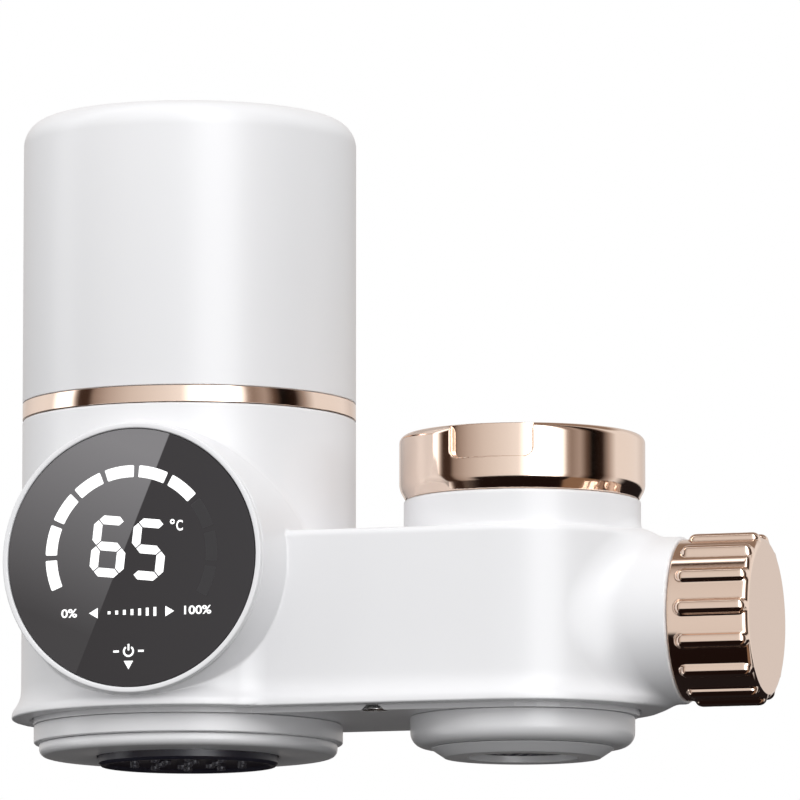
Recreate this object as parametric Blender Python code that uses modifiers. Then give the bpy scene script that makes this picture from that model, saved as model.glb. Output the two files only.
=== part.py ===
"""Faucet mount water filter: a filter column and a tap connector joined by an arm.

Units are metres, +Z is up. The part stands on its two outlets, with its origin under the middle of its box.
Most pieces are turned, so they are written as (radius, height) profiles on one of four axes:
the filter column, the tap connector, the diverter valve (pointing right) and the display (pointing forward).
"""

import math

import bmesh
import bpy
from mathutils import Matrix, Vector

# Fits
GAP = 0.0003
WALL = 0.0022
OVERRUN = 0.0020

# Body
CUP_R = 0.0340
FOOT_H = 0.0093
AXIS_SPAN = 0.0705
ARM_HALF_W = 0.0260
ARM_H = 0.0354
LIP_OUT = 0.0020
LIP_H = 0.0016
FLARE_H = 0.0070
NECK_STEP = 0.0021
NECK_H = 0.0069
NECK_WALL = 0.0017

# Filter cover and trim ring
TRIM_H = 0.0031
COVER_H = 0.0584
COVER_WALL = 0.0028
COVER_ROUND = 0.0055
COVER_FREE = 0.0085

# Filter bowl and cartridge
BOWL_WALL = 0.0028
BOWL_FLOOR = 0.0025
BOWL_COLLAR_H = 0.0060
SEAL_R = 0.0006
WATER_GAP = 0.0042
CARTRIDGE_CAP_H = 0.0035
SLEEVE_WALL = 0.0032
CARBON_BORE_R = 0.0080
SPIGOT_R = 0.0080
SPIGOT_BORE_R = 0.0050
SPIGOT_L = 0.0088
SOCKET_WALL = 0.0025

# Filter outlet
COLLAR_IN = 0.0026
COLLAR_H = 0.0033
OUTLET_RING_IN = 0.0011
OUTLET_RING_H = 0.0025
OUTLET_RING_ROUND = 0.0015
COLLAR_HUB_R = 0.0235
SPRAY_R = 0.0183
SPRAY_FLANGE = 0.0023
SPRAY_FLANGE_H = 0.0009
SPRAY_HOLE_R = 0.0007
SPRAY_RINGS = ((0.0, 1), (0.0060, 6), (0.0115, 10))

# Stream outlet
STREAM_RING_R = 0.0226
STREAM_RING_H = 0.0059
STREAM_RING_ROUND = 0.0030
CONE_TOP_R = 0.0188
CONE_FOOT_R = 0.0157
CONE_H = 0.0018
NOZZLE_R = 0.0142
NOZZLE_BORE_R = 0.0110
NOZZLE_LEDGE = 0.0020
HUB_WALL = 0.0012
AERATOR_H = 0.0050
AERATOR_HOLE_R = 0.0016
WASHER_H = 0.0017

# Bottom cover
PLATE_H = 0.0020
PLATE_DROP = 0.0010
SCREW_FROM_CUP = 0.0120
SCREW_R = 0.0012
SCREW_HEAD_R = 0.0026
SCREW_L = 0.0090
POST_R = 0.0030
POST_IN_WALL = 0.0010

# Display
DISPLAY_LIFT = 0.0024
OVER_DISPLAY = 0.0043
DISPLAY_STAND = 0.0040
BEZEL_IN = 0.0069
BEZEL_H = 0.0015
BEZEL_LIP = 0.0011
LENS_INSET = 0.0003
DRUM_SLOPE = 0.17
DRUM_DEPTH = 0.0222
POCKET_DEPTH = 0.0105
MASK_H = 0.0006
BOARD_H = 0.0008
CELL_R = 0.0056
CELL_H = 0.0018
CELL_IN = 0.0091
CLIP_T = 0.0004
CLIP_W = 0.0040
PROBE_R = 0.0012
PROBE_REACH = 0.0025

# Tap connector
NUT_OVER = 0.0009
NUT_H = 0.0132
NUT_FOOT_H = 0.0024
NUT_FOOT_IN = 0.0013
NUT_TOP_CHAMFER = 0.0010
NUT_FLANGE_H = 0.0028
NUT_MOUTH_R = 0.0170
NOTCH_HALF_W = 0.0086
NOTCH_TALL = 0.0068
NOTCH_DEEP = 0.0012
NOTCH_ROUND = 0.0018
NOTCHES = 2
NOTCH_TURN = 90
SPIGOT_TOP_OUT = 0.0060
INLET_SEAL_H = 0.0015
INLET_BORE_R = 0.0170
ADAPTER_BORE_R = 0.0113
ADAPTER_WALL = 0.0019
ADAPTER_TAIL = 0.0057
ADAPTER_LEDGE = 0.0033
SCREEN_H = 0.0006
INLET_WASHER_H = 0.0020
SCREEN_HOLE_R = 0.0009

# Diverter
VALVE_Z = 0.0175
BOSS_R = 0.0168
BOSS_OUT = 0.0337
BOSS_FILLET_SIDE = 0.0048
BOSS_FILLET_TOP = 0.0006
BOSS_FILLET_SHARE = 0.6
BOSS_FACETS = 40
BOSS_SINK = 0.0004
BARREL_R = 0.0136
BARREL_BORE_R = 0.0110
BARREL_BACK = 0.0150
PORT_R = 0.0050
PIPE_R = 0.0075
PIPE_BORE_R = 0.0050
PIPE_IN_BOWL = 0.0060
PIPE_GROOVE = 0.0014
COLUMN_R = 0.0125
SPINDLE_R = 0.0060
SPINDLE_L = 0.0177
RETAINER_H = 0.0030
CLIP_GROOVE = 0.0012
SEAL_PLACES = (-0.0085, 0.0100, 0.0200)
SEAL_GROOVE_H = 0.0021

# Knob
KNOB_R = 0.0162
KNOB_L = 0.0167
KNOB_WALL = 0.0022
KNOB_ROUND = 0.0014
KNOB_HUB_WALL = 0.0020
RIBS = 15
RIB_PHASE = -3.5
RIB_R = 0.0016
RIB_OUT = 0.0012
RIB_START = 0.0016
RIB_END = 0.0003

# Flow turbine
TURBINE_L = 0.0060
TURBINE_HUB_R = 0.0018
TURBINE_AXLE_R = 0.0006
TURBINE_BLADES = 4
BLADE_T = 0.0007
BLADE_TWIST = 25
CARRIER_H = 0.0014
CARRIER_RIM = 0.0009
TURBINE_FROM_CUP = 0.0090

# Facets round a full turn
FINE = 56
MEDIUM = 32
COARSE = 18
SEAL_FACETS = 5

# Heights and radii worked out from the sizes above
BEZEL_R = CUP_R - BEZEL_IN
DISPLAY_OUT = CUP_R + DISPLAY_STAND
BODY_Z = FOOT_H
ARM_TOP = BODY_Z + ARM_H
DISPLAY_HEIGHT = BODY_Z + DISPLAY_LIFT + BEZEL_R
CUP_TOP = DISPLAY_HEIGHT + BEZEL_R + OVER_DISPLAY
TRIM_LOW = CUP_TOP + GAP
TRIM_TOP = TRIM_LOW + TRIM_H
COVER_LOW = TRIM_TOP + GAP
COVER_TOP = COVER_LOW + COVER_H
PLATE_LOW = BODY_Z - PLATE_DROP
PLATE_TOP = PLATE_LOW + PLATE_H
VALVE_HEIGHT = BODY_Z + VALVE_Z
COLLAR_TOP = PLATE_LOW - GAP
COLLAR_LOW = COLLAR_TOP - COLLAR_H
NECK_TOP = ARM_TOP + NECK_H
NUT_LOW = NECK_TOP + GAP
NUT_TOP = NUT_LOW + NUT_H
BOWL_R = CUP_R - WALL - GAP
BOWL_IN_R = BOWL_R - BOWL_WALL
CARTRIDGE_R = BOWL_IN_R - WATER_GAP
COLLAR_R = CUP_R - COLLAR_IN
OUTLET_RING_R = COLLAR_R - OUTLET_RING_IN
NECK_R = ARM_HALF_W - NECK_STEP
NUT_R = NECK_R + NUT_OVER
KNOB_START = BOSS_OUT + GAP
KNOB_END = KNOB_START + KNOB_L

# The middle of the whole box lies at the origin
FILTER_X = (CUP_R + LIP_OUT - AXIS_SPAN - KNOB_END) / 2
TAP_X = FILTER_X + AXIS_SPAN
AXIS_Y = (DISPLAY_OUT - CUP_R - LIP_OUT) / 2


def clear_scene():
    for old in list(bpy.data.objects):
        bpy.data.objects.remove(old)


def collection(name):
    made = bpy.data.collections.new(name)
    bpy.context.scene.collection.children.link(made)
    return made


def finish(name, colour, roughness, metallic=0.0, alpha=1.0):
    """A Principled material."""
    made = bpy.data.materials.new(name)
    made.use_nodes = True
    shader = made.node_tree.nodes["Principled BSDF"]
    shader.inputs["Base Color"].default_value = (*colour, 1.0)
    shader.inputs["Roughness"].default_value = roughness
    shader.inputs["Metallic"].default_value = metallic
    shader.inputs["Alpha"].default_value = alpha
    return made


def axis_empty(name, location, rotation=(0.0, 0.0, 0.0)):
    """An empty whose own Z is the axis that pieces are turned on."""
    empty = bpy.data.objects.new(name, None)
    empty.location = location
    empty.rotation_euler = rotation
    empty.empty_display_size = KNOB_L
    parts.objects.link(empty)
    return empty


def place(name, mesh, axis, material=None):
    """Adds a mesh as a part, or as a hidden tool where it has no material."""
    made = bpy.data.objects.new(name, mesh)
    made.parent = axis
    if material:
        parts.objects.link(made)
        mesh.materials.append(material)
    else:
        tools.objects.link(made)
        made.hide_render = True
        made.display_type = "WIRE"
    return made


def arc(centre, radius, start, end, steps):
    """Points round an arc, with its angles in degrees."""
    points = []
    for step in range(steps + 1):
        angle = math.radians(start + (end - start) * step / steps)
        points.append((centre[0] + radius * math.cos(angle), centre[1] + radius * math.sin(angle)))
    return points


def turned(name, profile, axis, material=None, facets=FINE, closed=True):
    """Turns a (radius, height) profile, which runs down its outer side, round an axis."""
    mesh = bpy.data.meshes.new(name)
    count = len(profile)
    edges = [(i, (i + 1) % count) for i in range(count if closed else count - 1)]
    mesh.from_pydata([(r, 0.0, h) for r, h in profile], edges, [])
    made = place(name, mesh, axis, material)
    screw = made.modifiers.new("turn", "SCREW")
    screw.steps = facets
    screw.render_steps = facets
    screw.use_merge_vertices = True
    screw.merge_threshold = 0.00001
    return made


def ring(name, inner, outer, low, high, axis, material=None, facets=MEDIUM):
    profile = [(inner, high), (outer, high), (outer, low), (inner, low)]
    return turned(name, profile, axis, material, facets)


def seal(name, radius, height, axis, material, facets=COARSE):
    """An O-ring."""
    return turned(name, arc((radius, height), SEAL_R, 90, -210, SEAL_FACETS - 1), axis, material, facets)


def mesh_of(name, bm):
    mesh = bpy.data.meshes.new(name)
    bmesh.ops.recalc_face_normals(bm, faces=bm.faces)
    bm.to_mesh(mesh)
    bm.free()
    return mesh


def add_rod(bm, radius, low, high, facets, place_at=Matrix.Identity(4), end_radius=None):
    """Adds a rod along Z from low to high, which may taper, turned by half a facet from the turned pieces."""
    half_facet = Matrix.Rotation(math.pi / facets, 4, "Z")
    middle = place_at @ Matrix.Translation((0.0, 0.0, (low + high) / 2)) @ half_facet
    bmesh.ops.create_cone(
        bm,
        cap_ends=True,
        segments=facets,
        radius1=radius,
        radius2=radius if end_radius is None else end_radius,
        depth=high - low,
        matrix=middle,
    )


def rod(name, radius, low, high, axis, material=None, facets=MEDIUM, end_radius=None):
    bm = bmesh.new()
    add_rod(bm, radius, low, high, facets, end_radius=end_radius)
    return place(name, mesh_of(name, bm), axis, material)


def add_box(bm, low, high, place_at=Matrix.Identity(4)):
    size = Vector(high) - Vector(low)
    centre = (Vector(high) + Vector(low)) / 2
    matrix = place_at @ Matrix.Translation(centre) @ Matrix.Diagonal((*size, 1.0))
    bmesh.ops.create_cube(bm, size=1.0, matrix=matrix)


def box(name, low, high, axis, material=None):
    bm = bmesh.new()
    add_box(bm, low, high)
    return place(name, mesh_of(name, bm), axis, material)


def slab(name, outline, low, high, axis, material=None):
    """A flat outline, extruded from low to high."""
    bm = bmesh.new()
    face = bm.faces.new([bm.verts.new((x, y, low)) for x, y in outline])
    grown = bmesh.ops.extrude_face_region(bm, geom=[face])
    lifted = [item for item in grown["geom"] if isinstance(item, bmesh.types.BMVert)]
    bmesh.ops.translate(bm, verts=lifted, vec=(0.0, 0.0, high - low))
    return place(name, mesh_of(name, bm), axis, material)


def lofted(name, sections, axis, material=None):
    """Joins outlines of equal length, from the top down."""
    bm = bmesh.new()
    loops = [[bm.verts.new(point) for point in outline] for outline in sections]
    for upper, lower in zip(loops, loops[1:]):
        for index in range(len(upper)):
            after = (index + 1) % len(upper)
            bm.faces.new((upper[index], upper[after], lower[after], lower[index]))
    bm.faces.new(loops[0])
    bm.faces.new(loops[-1])
    return place(name, mesh_of(name, bm), axis, material)


def boolean(target, tool, operation):
    modifier = target.modifiers.new(tool.name, "BOOLEAN")
    modifier.operation = operation
    modifier.object = tool


def join(target, *others):
    for other in others:
        boolean(target, other, "UNION")


def cut(target, *cutters):
    for cutter in cutters:
        boolean(target, cutter, "DIFFERENCE")


def hole_pattern(name, rings, radius, low, high, axis, facets=6):
    """A hidden tool of parallel rods, on rings of (ring radius, count)."""
    bm = bmesh.new()
    for ring_r, count in rings:
        for index in range(count):
            turn = Matrix.Rotation(2 * math.pi * index / count, 4, "Z")
            add_rod(bm, radius, low, high, facets, turn @ Matrix.Translation((ring_r, 0.0, 0.0)))
    return place(name, mesh_of(name, bm), axis)


def skirt(radius):
    """The outer wall's foot: straight, then a hollow flare down to the lip round the underside."""
    hollow = FLARE_H - LIP_H
    points = []
    for step in range(5):
        angle = math.radians(90 - 22.5 * step)
        points.append(
            (
                radius + LIP_OUT * (1 - math.sin(angle)),
                BODY_Z + LIP_H + hollow * (1 - math.cos(angle)),
            )
        )
    return points + [(radius + LIP_OUT, BODY_Z)]


def body_outline(inset):
    """The underside's outline, seen from above, set in from the casing's wall."""
    cup = CUP_R - inset
    half = ARM_HALF_W - inset
    meet = math.degrees(math.asin(half / cup))
    return arc((0.0, 0.0), cup, meet, 360 - meet, FINE - 16) + arc((AXIS_SPAN, 0.0), half, -90, 90, MEDIUM // 2)


def arm_outline(half):
    """The arm's outline from inside the cup to its round end, seen from above."""
    start = CUP_R / 3
    return [(start, half), (start, -half)] + arc((AXIS_SPAN, 0.0), half, -90, 90, FINE // 2)


def boss_sections():
    """Outlines of the knob boss from its end to inside the arm, with a hollow fillet onto the arm's round end."""
    side = min(BOSS_FILLET_SIDE, (ARM_HALF_W - BOSS_R) * BOSS_FILLET_SHARE)
    fillets = []
    roots = []
    angles = [2 * math.pi * (index + 0.5) / BOSS_FACETS for index in range(BOSS_FACETS)]
    for angle in angles:
        fillet = BOSS_FILLET_TOP + (side - BOSS_FILLET_TOP) * math.sin(angle) ** 2
        across = (BOSS_R + fillet) * math.sin(angle)
        fillets.append(fillet)
        roots.append(math.sqrt(ARM_HALF_W**2 - across**2) - BOSS_SINK)
    sections = [[(BOSS_R * math.cos(angle), BOSS_R * math.sin(angle), BOSS_OUT) for angle in angles]]
    for step in range(4):
        turn = math.radians(30 * step)
        outline = []
        for angle, fillet, root in zip(angles, fillets, roots):
            radius = BOSS_R + fillet * (1 - math.cos(turn))
            outline.append((radius * math.cos(angle), radius * math.sin(angle), root + fillet * (1 - math.sin(turn))))
        sections.append(outline)
    sections.append([(x, y, min(roots) - BOSS_SINK) for x, y, height in sections[-1]])
    return sections


def drum_radius(out):
    """The display drum's radius where it lies this far in front of the filter axis."""
    return BEZEL_R + DRUM_SLOPE * (DISPLAY_OUT - BEZEL_H - out)


def make_casing():
    """One moulding: base cup, arm, tap housing and neck, knob boss and display drum."""
    foot = BODY_Z - OVERRUN
    cup = [(0.0, CUP_TOP), (CUP_R, CUP_TOP)] + skirt(CUP_R) + [(CUP_R + LIP_OUT, foot), (0.0, foot)]
    casing = turned("casing", cup, filter_axis, white, closed=False)
    side = [(ARM_HALF_W, ARM_TOP)] + skirt(ARM_HALF_W) + [(ARM_HALF_W + LIP_OUT, foot)]
    levels = [[(x, y, height) for x, y in arm_outline(half)] for half, height in side]
    arm = lofted("arm", levels, filter_axis)
    neck = rod("neck", NECK_R, ARM_TOP - OVERRUN, NECK_TOP, tap_axis, facets=FINE)

    boss = lofted("knob_boss", boss_sections(), valve_axis)

    drum_front = DISPLAY_OUT - BEZEL_H - GAP
    drum_back = drum_front - DRUM_DEPTH
    drum = rod("drum", drum_radius(drum_back), drum_back, drum_front, display_axis, None, FINE,
               drum_radius(drum_front))
    join(casing, arm, neck, boss, drum)
    reach = AXIS_SPAN + CUP_R
    under = box("under_trim", (-reach, -reach, foot - OVERRUN), (2 * reach, reach, BODY_Z), filter_axis)
    cut(casing, under)

    cup_bore = rod("cup_bore", CUP_R - WALL, foot, CUP_TOP + OVERRUN, filter_axis, facets=FINE)
    arm_cavity = slab("arm_cavity", arm_outline(ARM_HALF_W - WALL), foot, ARM_TOP - WALL, filter_axis)
    neck_bore = rod("neck_bore", NECK_R - NECK_WALL, BODY_Z + VALVE_Z, NECK_TOP + OVERRUN, tap_axis)
    boss_bore = rod("boss_bore", BARREL_R + GAP, 0.0, BOSS_OUT + OVERRUN, valve_axis)
    pocket = rod("drum_pocket", drum_radius(drum_front - POCKET_DEPTH) - WALL + GAP, drum_front - POCKET_DEPTH,
                 drum_front + OVERRUN, display_axis, None, MEDIUM,
                 drum_radius(drum_front + OVERRUN) - WALL + GAP)
    cut(pocket, rod("cup_core", CUP_R, BODY_Z, CUP_TOP, filter_axis, facets=FINE))
    probe_way = rod("casing_probe_way", PROBE_R + GAP, CUP_R - 2 * WALL, CUP_R + GAP, display_axis, facets=16)
    cut(casing, cup_bore, arm_cavity, neck_bore, boss_bore, pocket, probe_way)

    for index, side in enumerate((-1, 1), start=1):
        spot = screw_spots[side]
        post = rod(f"screw_post_{index}", POST_R, PLATE_TOP + GAP, ARM_TOP - WALL / 2, spot, facets=16)
        pilot = rod(f"screw_pilot_{index}", SCREW_R + GAP, BODY_Z, PLATE_LOW + SCREW_L + OVERRUN, spot, facets=12)
        join(casing, post)
        cut(casing, pilot)


def make_bottom_cover():
    """The flat plate that closes the casing, with its two screws."""
    cover = slab("bottom_cover", body_outline(WALL + GAP), PLATE_LOW, PLATE_TOP, filter_axis, white)
    way_low = PLATE_LOW - OVERRUN
    way_top = PLATE_TOP + OVERRUN
    filter_way = rod("filter_way", COLLAR_HUB_R + GAP, way_low, way_top, filter_axis)
    stream_way = rod("stream_way", STREAM_HUB_R + GAP, way_low, way_top, tap_axis)
    cut(cover, filter_way, stream_way)
    for index, side in enumerate((-1, 1), start=1):
        spot = screw_spots[side]
        head = SCREW_HEAD_R - SCREW_R
        way = rod(f"screw_way_{index}", SCREW_R + GAP, way_low, way_top, spot, facets=12)
        sink = rod(f"screw_sink_{index}", SCREW_HEAD_R + 2 * GAP, PLATE_LOW - GAP, PLATE_LOW + head, spot,
                   None, 16, SCREW_R + 2 * GAP)
        cut(cover, way, sink)
        screw_profile = [
            (0.0, PLATE_LOW + SCREW_L),
            (SCREW_R, PLATE_LOW + SCREW_L),
            (SCREW_R, PLATE_LOW + head),
            (SCREW_HEAD_R, PLATE_LOW),
            (0.0, PLATE_LOW),
        ]
        turned(f"bottom_screw_{index}", screw_profile, spot, steel, 12, closed=False)


def make_filter_bowl():
    """The pressure bowl: a threaded collar on top, the pipe boss at its side, the cartridge socket in its floor."""
    socket_r = SPIGOT_R + GAP
    groove_mid = (COVER_LOW + BOWL_TOP) / 2 + GAP
    groove_half = SEAL_R + GAP
    groove_r = SEAL_MID_R - SEAL_R - GAP
    profile = [
        (BOWL_IN_R, BOWL_TOP),
        (COLLAR_THREAD_R, BOWL_TOP),
        (COLLAR_THREAD_R, groove_mid + groove_half),
        (groove_r, groove_mid + groove_half),
        (groove_r, groove_mid - groove_half),
        (COLLAR_THREAD_R, groove_mid - groove_half),
        (COLLAR_THREAD_R, TRIM_TOP),
        (BOWL_R, TRIM_TOP),
        (BOWL_R, BOWL_LOW),
        (TAIL_R, BOWL_LOW),
        (TAIL_R, TAIL_LOW),
        (SPIGOT_BORE_R + SEAL_R, TAIL_LOW),
        (SPIGOT_BORE_R + SEAL_R, SPIGOT_LOW - GAP),
        (socket_r, SPIGOT_LOW - GAP),
        (socket_r, SOCKET_TOP),
        (TAIL_R, SOCKET_TOP),
        (TAIL_R, BOWL_LOW + BOWL_FLOOR),
        (BOWL_IN_R, BOWL_LOW + BOWL_FLOOR),
    ]
    bowl = turned("filter_bowl", profile, filter_axis, clear_grey, 44)
    boss = rod("pipe_boss", PIPE_SOCKET_R + SOCKET_WALL, PIPE_END - WALL - AXIS_SPAN, SOCKET_MOUTH - AXIS_SPAN,
               valve_axis, facets=COARSE)
    hollow = rod("bowl_hollow", BOWL_IN_R, SOCKET_TOP + GAP, TRIM_TOP, filter_axis, facets=FINE)
    cut(boss, hollow)
    join(bowl, boss)
    socket = rod("pipe_socket", PIPE_SOCKET_R, PIPE_END - GAP - AXIS_SPAN, SOCKET_MOUTH + OVERRUN - AXIS_SPAN,
                 valve_axis, facets=COARSE)
    port = rod("bowl_port", PIPE_BORE_R, CARTRIDGE_R - AXIS_SPAN, PIPE_END - AXIS_SPAN, valve_axis, facets=COARSE)
    probe_way = rod("bowl_probe_way", PROBE_R + GAP, CARTRIDGE_R, CUP_R, display_axis, facets=16)
    cut(bowl, socket, port, probe_way)
    seal("cover_seal", SEAL_MID_R, groove_mid, filter_axis, rubber, MEDIUM)


def make_cover():
    """The tall cover and the trim ring under it."""
    ring("trim_ring", BOWL_R + GAP, CUP_R, TRIM_LOW, TRIM_TOP, filter_axis, rose_gold, FINE)
    round_centre = (CUP_R - COVER_ROUND, COVER_TOP - COVER_ROUND)
    inner_round = COVER_ROUND - COVER_WALL / 2
    inner_r = CUP_R - COVER_WALL
    inner_centre = (inner_r - inner_round, COVER_TOP - COVER_WALL - inner_round)
    outside = [(0.0, COVER_TOP)] + arc(round_centre, COVER_ROUND, 90, 0, 5) + [(CUP_R, COVER_LOW)]
    inside = [(inner_r, COVER_LOW)] + arc(inner_centre, inner_round, 0, 90, 3) + [(0.0, COVER_TOP - COVER_WALL)]
    turned("filter_cover", outside + inside, filter_axis, white, closed=False)


def make_cartridge():
    """The cartridge: two end caps, a carbon block in a sediment sleeve, and a spigot with two seals."""
    groove_r = SPIGOT_R - 2 * SEAL_R
    profile = [(0.0, CARTRIDGE_LOW + CARTRIDGE_CAP_H), (CARTRIDGE_R, CARTRIDGE_LOW + CARTRIDGE_CAP_H)]
    profile += [(CARTRIDGE_R, CARTRIDGE_LOW), (SPIGOT_R, CARTRIDGE_LOW)]
    for height in spigot_seals:
        profile += [
            (SPIGOT_R, height + 2 * SEAL_R),
            (groove_r, height + 2 * SEAL_R),
            (groove_r, height - 2 * SEAL_R),
            (SPIGOT_R, height - 2 * SEAL_R),
        ]
    profile += [(SPIGOT_R, SPIGOT_LOW), (0.0, SPIGOT_LOW)]
    base = turned("cartridge_base", profile, filter_axis, cap_grey, COARSE + 4, closed=False)
    cut(base, rod("spigot_bore", SPIGOT_BORE_R, SPIGOT_LOW - OVERRUN, CARTRIDGE_LOW + CARTRIDGE_CAP_H + OVERRUN,
                  filter_axis, facets=COARSE))
    for index, height in enumerate(spigot_seals, start=1):
        seal(f"spigot_seal_{index}", SPIGOT_R - SEAL_R, height, filter_axis, rubber)
    low = CARTRIDGE_LOW + CARTRIDGE_CAP_H + GAP
    high = CARTRIDGE_TOP - CARTRIDGE_CAP_H - GAP
    sleeve_in = CARTRIDGE_R - SLEEVE_WALL
    ring("sediment_sleeve", sleeve_in, CARTRIDGE_R - GAP, low, high, filter_axis, felt)
    ring("carbon_block", CARBON_BORE_R, sleeve_in - GAP, low, high, filter_axis, carbon, COARSE)
    cap = [
        (0.0, CARTRIDGE_TOP),
        (CARBON_BORE_R, CARTRIDGE_TOP),
        (CARBON_BORE_R, CARTRIDGE_TOP - CARTRIDGE_CAP_H / 3),
        (CARTRIDGE_R, CARTRIDGE_TOP - CARTRIDGE_CAP_H / 3),
        (CARTRIDGE_R, CARTRIDGE_TOP - CARTRIDGE_CAP_H),
        (0.0, CARTRIDGE_TOP - CARTRIDGE_CAP_H),
    ]
    turned("cartridge_cap", cap, filter_axis, cap_grey, COARSE + 4, closed=False)


def make_filter_outlet():
    """The collar on the bowl's tail, and the ring that holds the spray plate against its gasket."""
    seat_r = SPRAY_FLANGE_R + GAP
    step_z = SPRAY_TOP + WASHER_H
    web_low = COLLAR_HUB_TOP - BOWL_FLOOR + GAP
    profile = [
        (TAIL_R + GAP, COLLAR_HUB_TOP),
        (COLLAR_HUB_R, COLLAR_HUB_TOP),
        (COLLAR_HUB_R, COLLAR_TOP),
        (COLLAR_R, COLLAR_TOP),
        (COLLAR_R, COLLAR_LOW),
        (seat_r, COLLAR_LOW),
        (seat_r, step_z),
        (SPRAY_R - 3 * GAP, step_z),
        (SPRAY_R - 3 * GAP, web_low),
        (TAIL_R + GAP, web_low),
    ]
    turned("outlet_collar", profile, filter_axis, white, 44)
    ring_top = COLLAR_LOW - GAP
    ring_low = ring_top - OUTLET_RING_H
    hole_r = SPRAY_R + GAP
    turn = (OUTLET_RING_R - OUTLET_RING_ROUND, ring_low + OUTLET_RING_ROUND)
    profile = [(hole_r, ring_top), (OUTLET_RING_R, ring_top)]
    profile += arc(turn, OUTLET_RING_ROUND, 0, -90, 3) + [(hole_r, ring_low)]
    turned("outlet_ring", profile, filter_axis, white, 44)
    floor = 2 * SPRAY_HOLE_R
    profile = [
        (0.0, floor),
        (SPRAY_R - BOWL_FLOOR, floor),
        (SPRAY_R - BOWL_FLOOR, SPRAY_TOP),
        (SPRAY_FLANGE_R, SPRAY_TOP),
        (SPRAY_FLANGE_R, COLLAR_LOW),
        (SPRAY_R, COLLAR_LOW),
        (SPRAY_R, SPRAY_HOLE_R),
        (SPRAY_R - SPRAY_HOLE_R, 0.0),
        (0.0, 0.0),
    ]
    plate = turned("spray_plate", profile, filter_axis, dark_grey, MEDIUM, closed=False)
    cut(plate, hole_pattern("spray_holes", SPRAY_RINGS, SPRAY_HOLE_R, -OVERRUN, OVERRUN + floor, filter_axis))
    ring("spray_gasket", SPRAY_R - 2 * GAP, SPRAY_FLANGE_R - GAP, SPRAY_TOP + GAP, step_z - GAP, filter_axis,
         rubber, COARSE)


def make_stream_outlet():
    """The ring and the cone nozzle under the tap housing, with the aerator inside."""
    turn = (STREAM_RING_R - STREAM_RING_ROUND, COLLAR_TOP - STREAM_RING_H + STREAM_RING_ROUND)
    profile = [
        (NOZZLE_R + GAP, STREAM_TOP),
        (STREAM_HUB_R, STREAM_TOP),
        (STREAM_HUB_R, COLLAR_TOP),
        (STREAM_RING_R, COLLAR_TOP),
    ]
    profile += arc(turn, STREAM_RING_ROUND, 0, -90, 4) + [(NOZZLE_R + GAP, COLLAR_TOP - STREAM_RING_H)]
    turned("stream_ring", profile, tap_axis, white, 44)
    ledge_z = STREAM_TOP - NOZZLE_LEDGE
    profile = [
        (COLUMN_BORE_R, STREAM_TOP),
        (NOZZLE_R, STREAM_TOP),
        (NOZZLE_R, CONE_H),
        (CONE_TOP_R, CONE_H),
        (CONE_FOOT_R, 0.0),
        (NOZZLE_BORE_R, 0.0),
        (NOZZLE_BORE_R, ledge_z),
        (COLUMN_BORE_R, ledge_z),
    ]
    turned("stream_nozzle", profile, tap_axis, white, MEDIUM)
    insert_r = NOZZLE_BORE_R - GAP
    washer_low = ledge_z - GAP - WASHER_H
    ring("aerator_washer", COLUMN_BORE_R - 2 * GAP, insert_r, washer_low, ledge_z - GAP, tap_axis, rubber, COARSE)
    insert_top = washer_low - GAP
    insert = rod("aerator_insert", insert_r, insert_top - AERATOR_H, insert_top, tap_axis, dark_grey, COARSE)
    rings = ((0.0, 1), (3 * AERATOR_HOLE_R, 6))
    cut(insert, hole_pattern("aerator_holes", rings, AERATOR_HOLE_R, -OVERRUN, STREAM_TOP, tap_axis))
    ring("outlet_gasket", COLUMN_BORE_R, COLUMN_R, STREAM_TOP + GAP, COLUMN_LOW - GAP, tap_axis, rubber, COARSE)


def make_display():
    """The bezel ring, the dark lens, and the electronics between it and the cup."""
    lens_back = DISPLAY_OUT - BEZEL_H
    soft = 0.3 * BEZEL_LIP
    profile = [
        (BEZEL_R - BEZEL_LIP, DISPLAY_OUT),
        (BEZEL_R - soft, DISPLAY_OUT),
        (BEZEL_R, DISPLAY_OUT - soft),
        (BEZEL_R, lens_back),
        (BEZEL_R - BEZEL_LIP, lens_back),
    ]
    turned("display_bezel", profile, display_axis, white)
    lens_r = BEZEL_R - BEZEL_LIP - GAP
    rod("display_lens", lens_r, lens_back, DISPLAY_OUT - LENS_INSET, display_axis, dark_glass, FINE)
    pocket_r = drum_radius(lens_back) - WALL - GAP
    mask_top = lens_back - GAP
    mask = rod("light_mask", pocket_r, mask_top - MASK_H, mask_top, display_axis, black)
    windows = ((pocket_r * 0.66, 10),)
    cut(mask, hole_pattern("mask_windows", windows, WALL, 0.0, DISPLAY_OUT, display_axis))
    board_top = mask_top - MASK_H - GAP
    board_low = board_top - BOARD_H
    rod("circuit_board", pocket_r, board_low, board_top, display_axis, board_green)

    cell_top = board_low - GAP
    cell_x = BEZEL_R - CELL_IN
    bm = bmesh.new()
    add_rod(bm, CELL_R, cell_top - CELL_H, cell_top, 24, Matrix.Translation((cell_x, 0.0, 0.0)))
    place("button_cell", mesh_of("button_cell", bm), display_axis, steel)
    clip_top = cell_top - CELL_H - GAP
    clip_side = cell_x + CELL_R + GAP
    half = CLIP_W / 2
    clip = box("cell_clip", (cell_x, -half, clip_top - CLIP_T), (clip_side + CLIP_T, half, clip_top), display_axis, steel)
    leg = box("clip_leg", (clip_side, -half, clip_top - CLIP_T), (clip_side + CLIP_T, half, cell_top), display_axis)
    join(clip, leg)
    rod("temperature_probe", PROBE_R, BOWL_IN_R - PROBE_REACH, board_low - GAP, display_axis, steel, 12)


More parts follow.
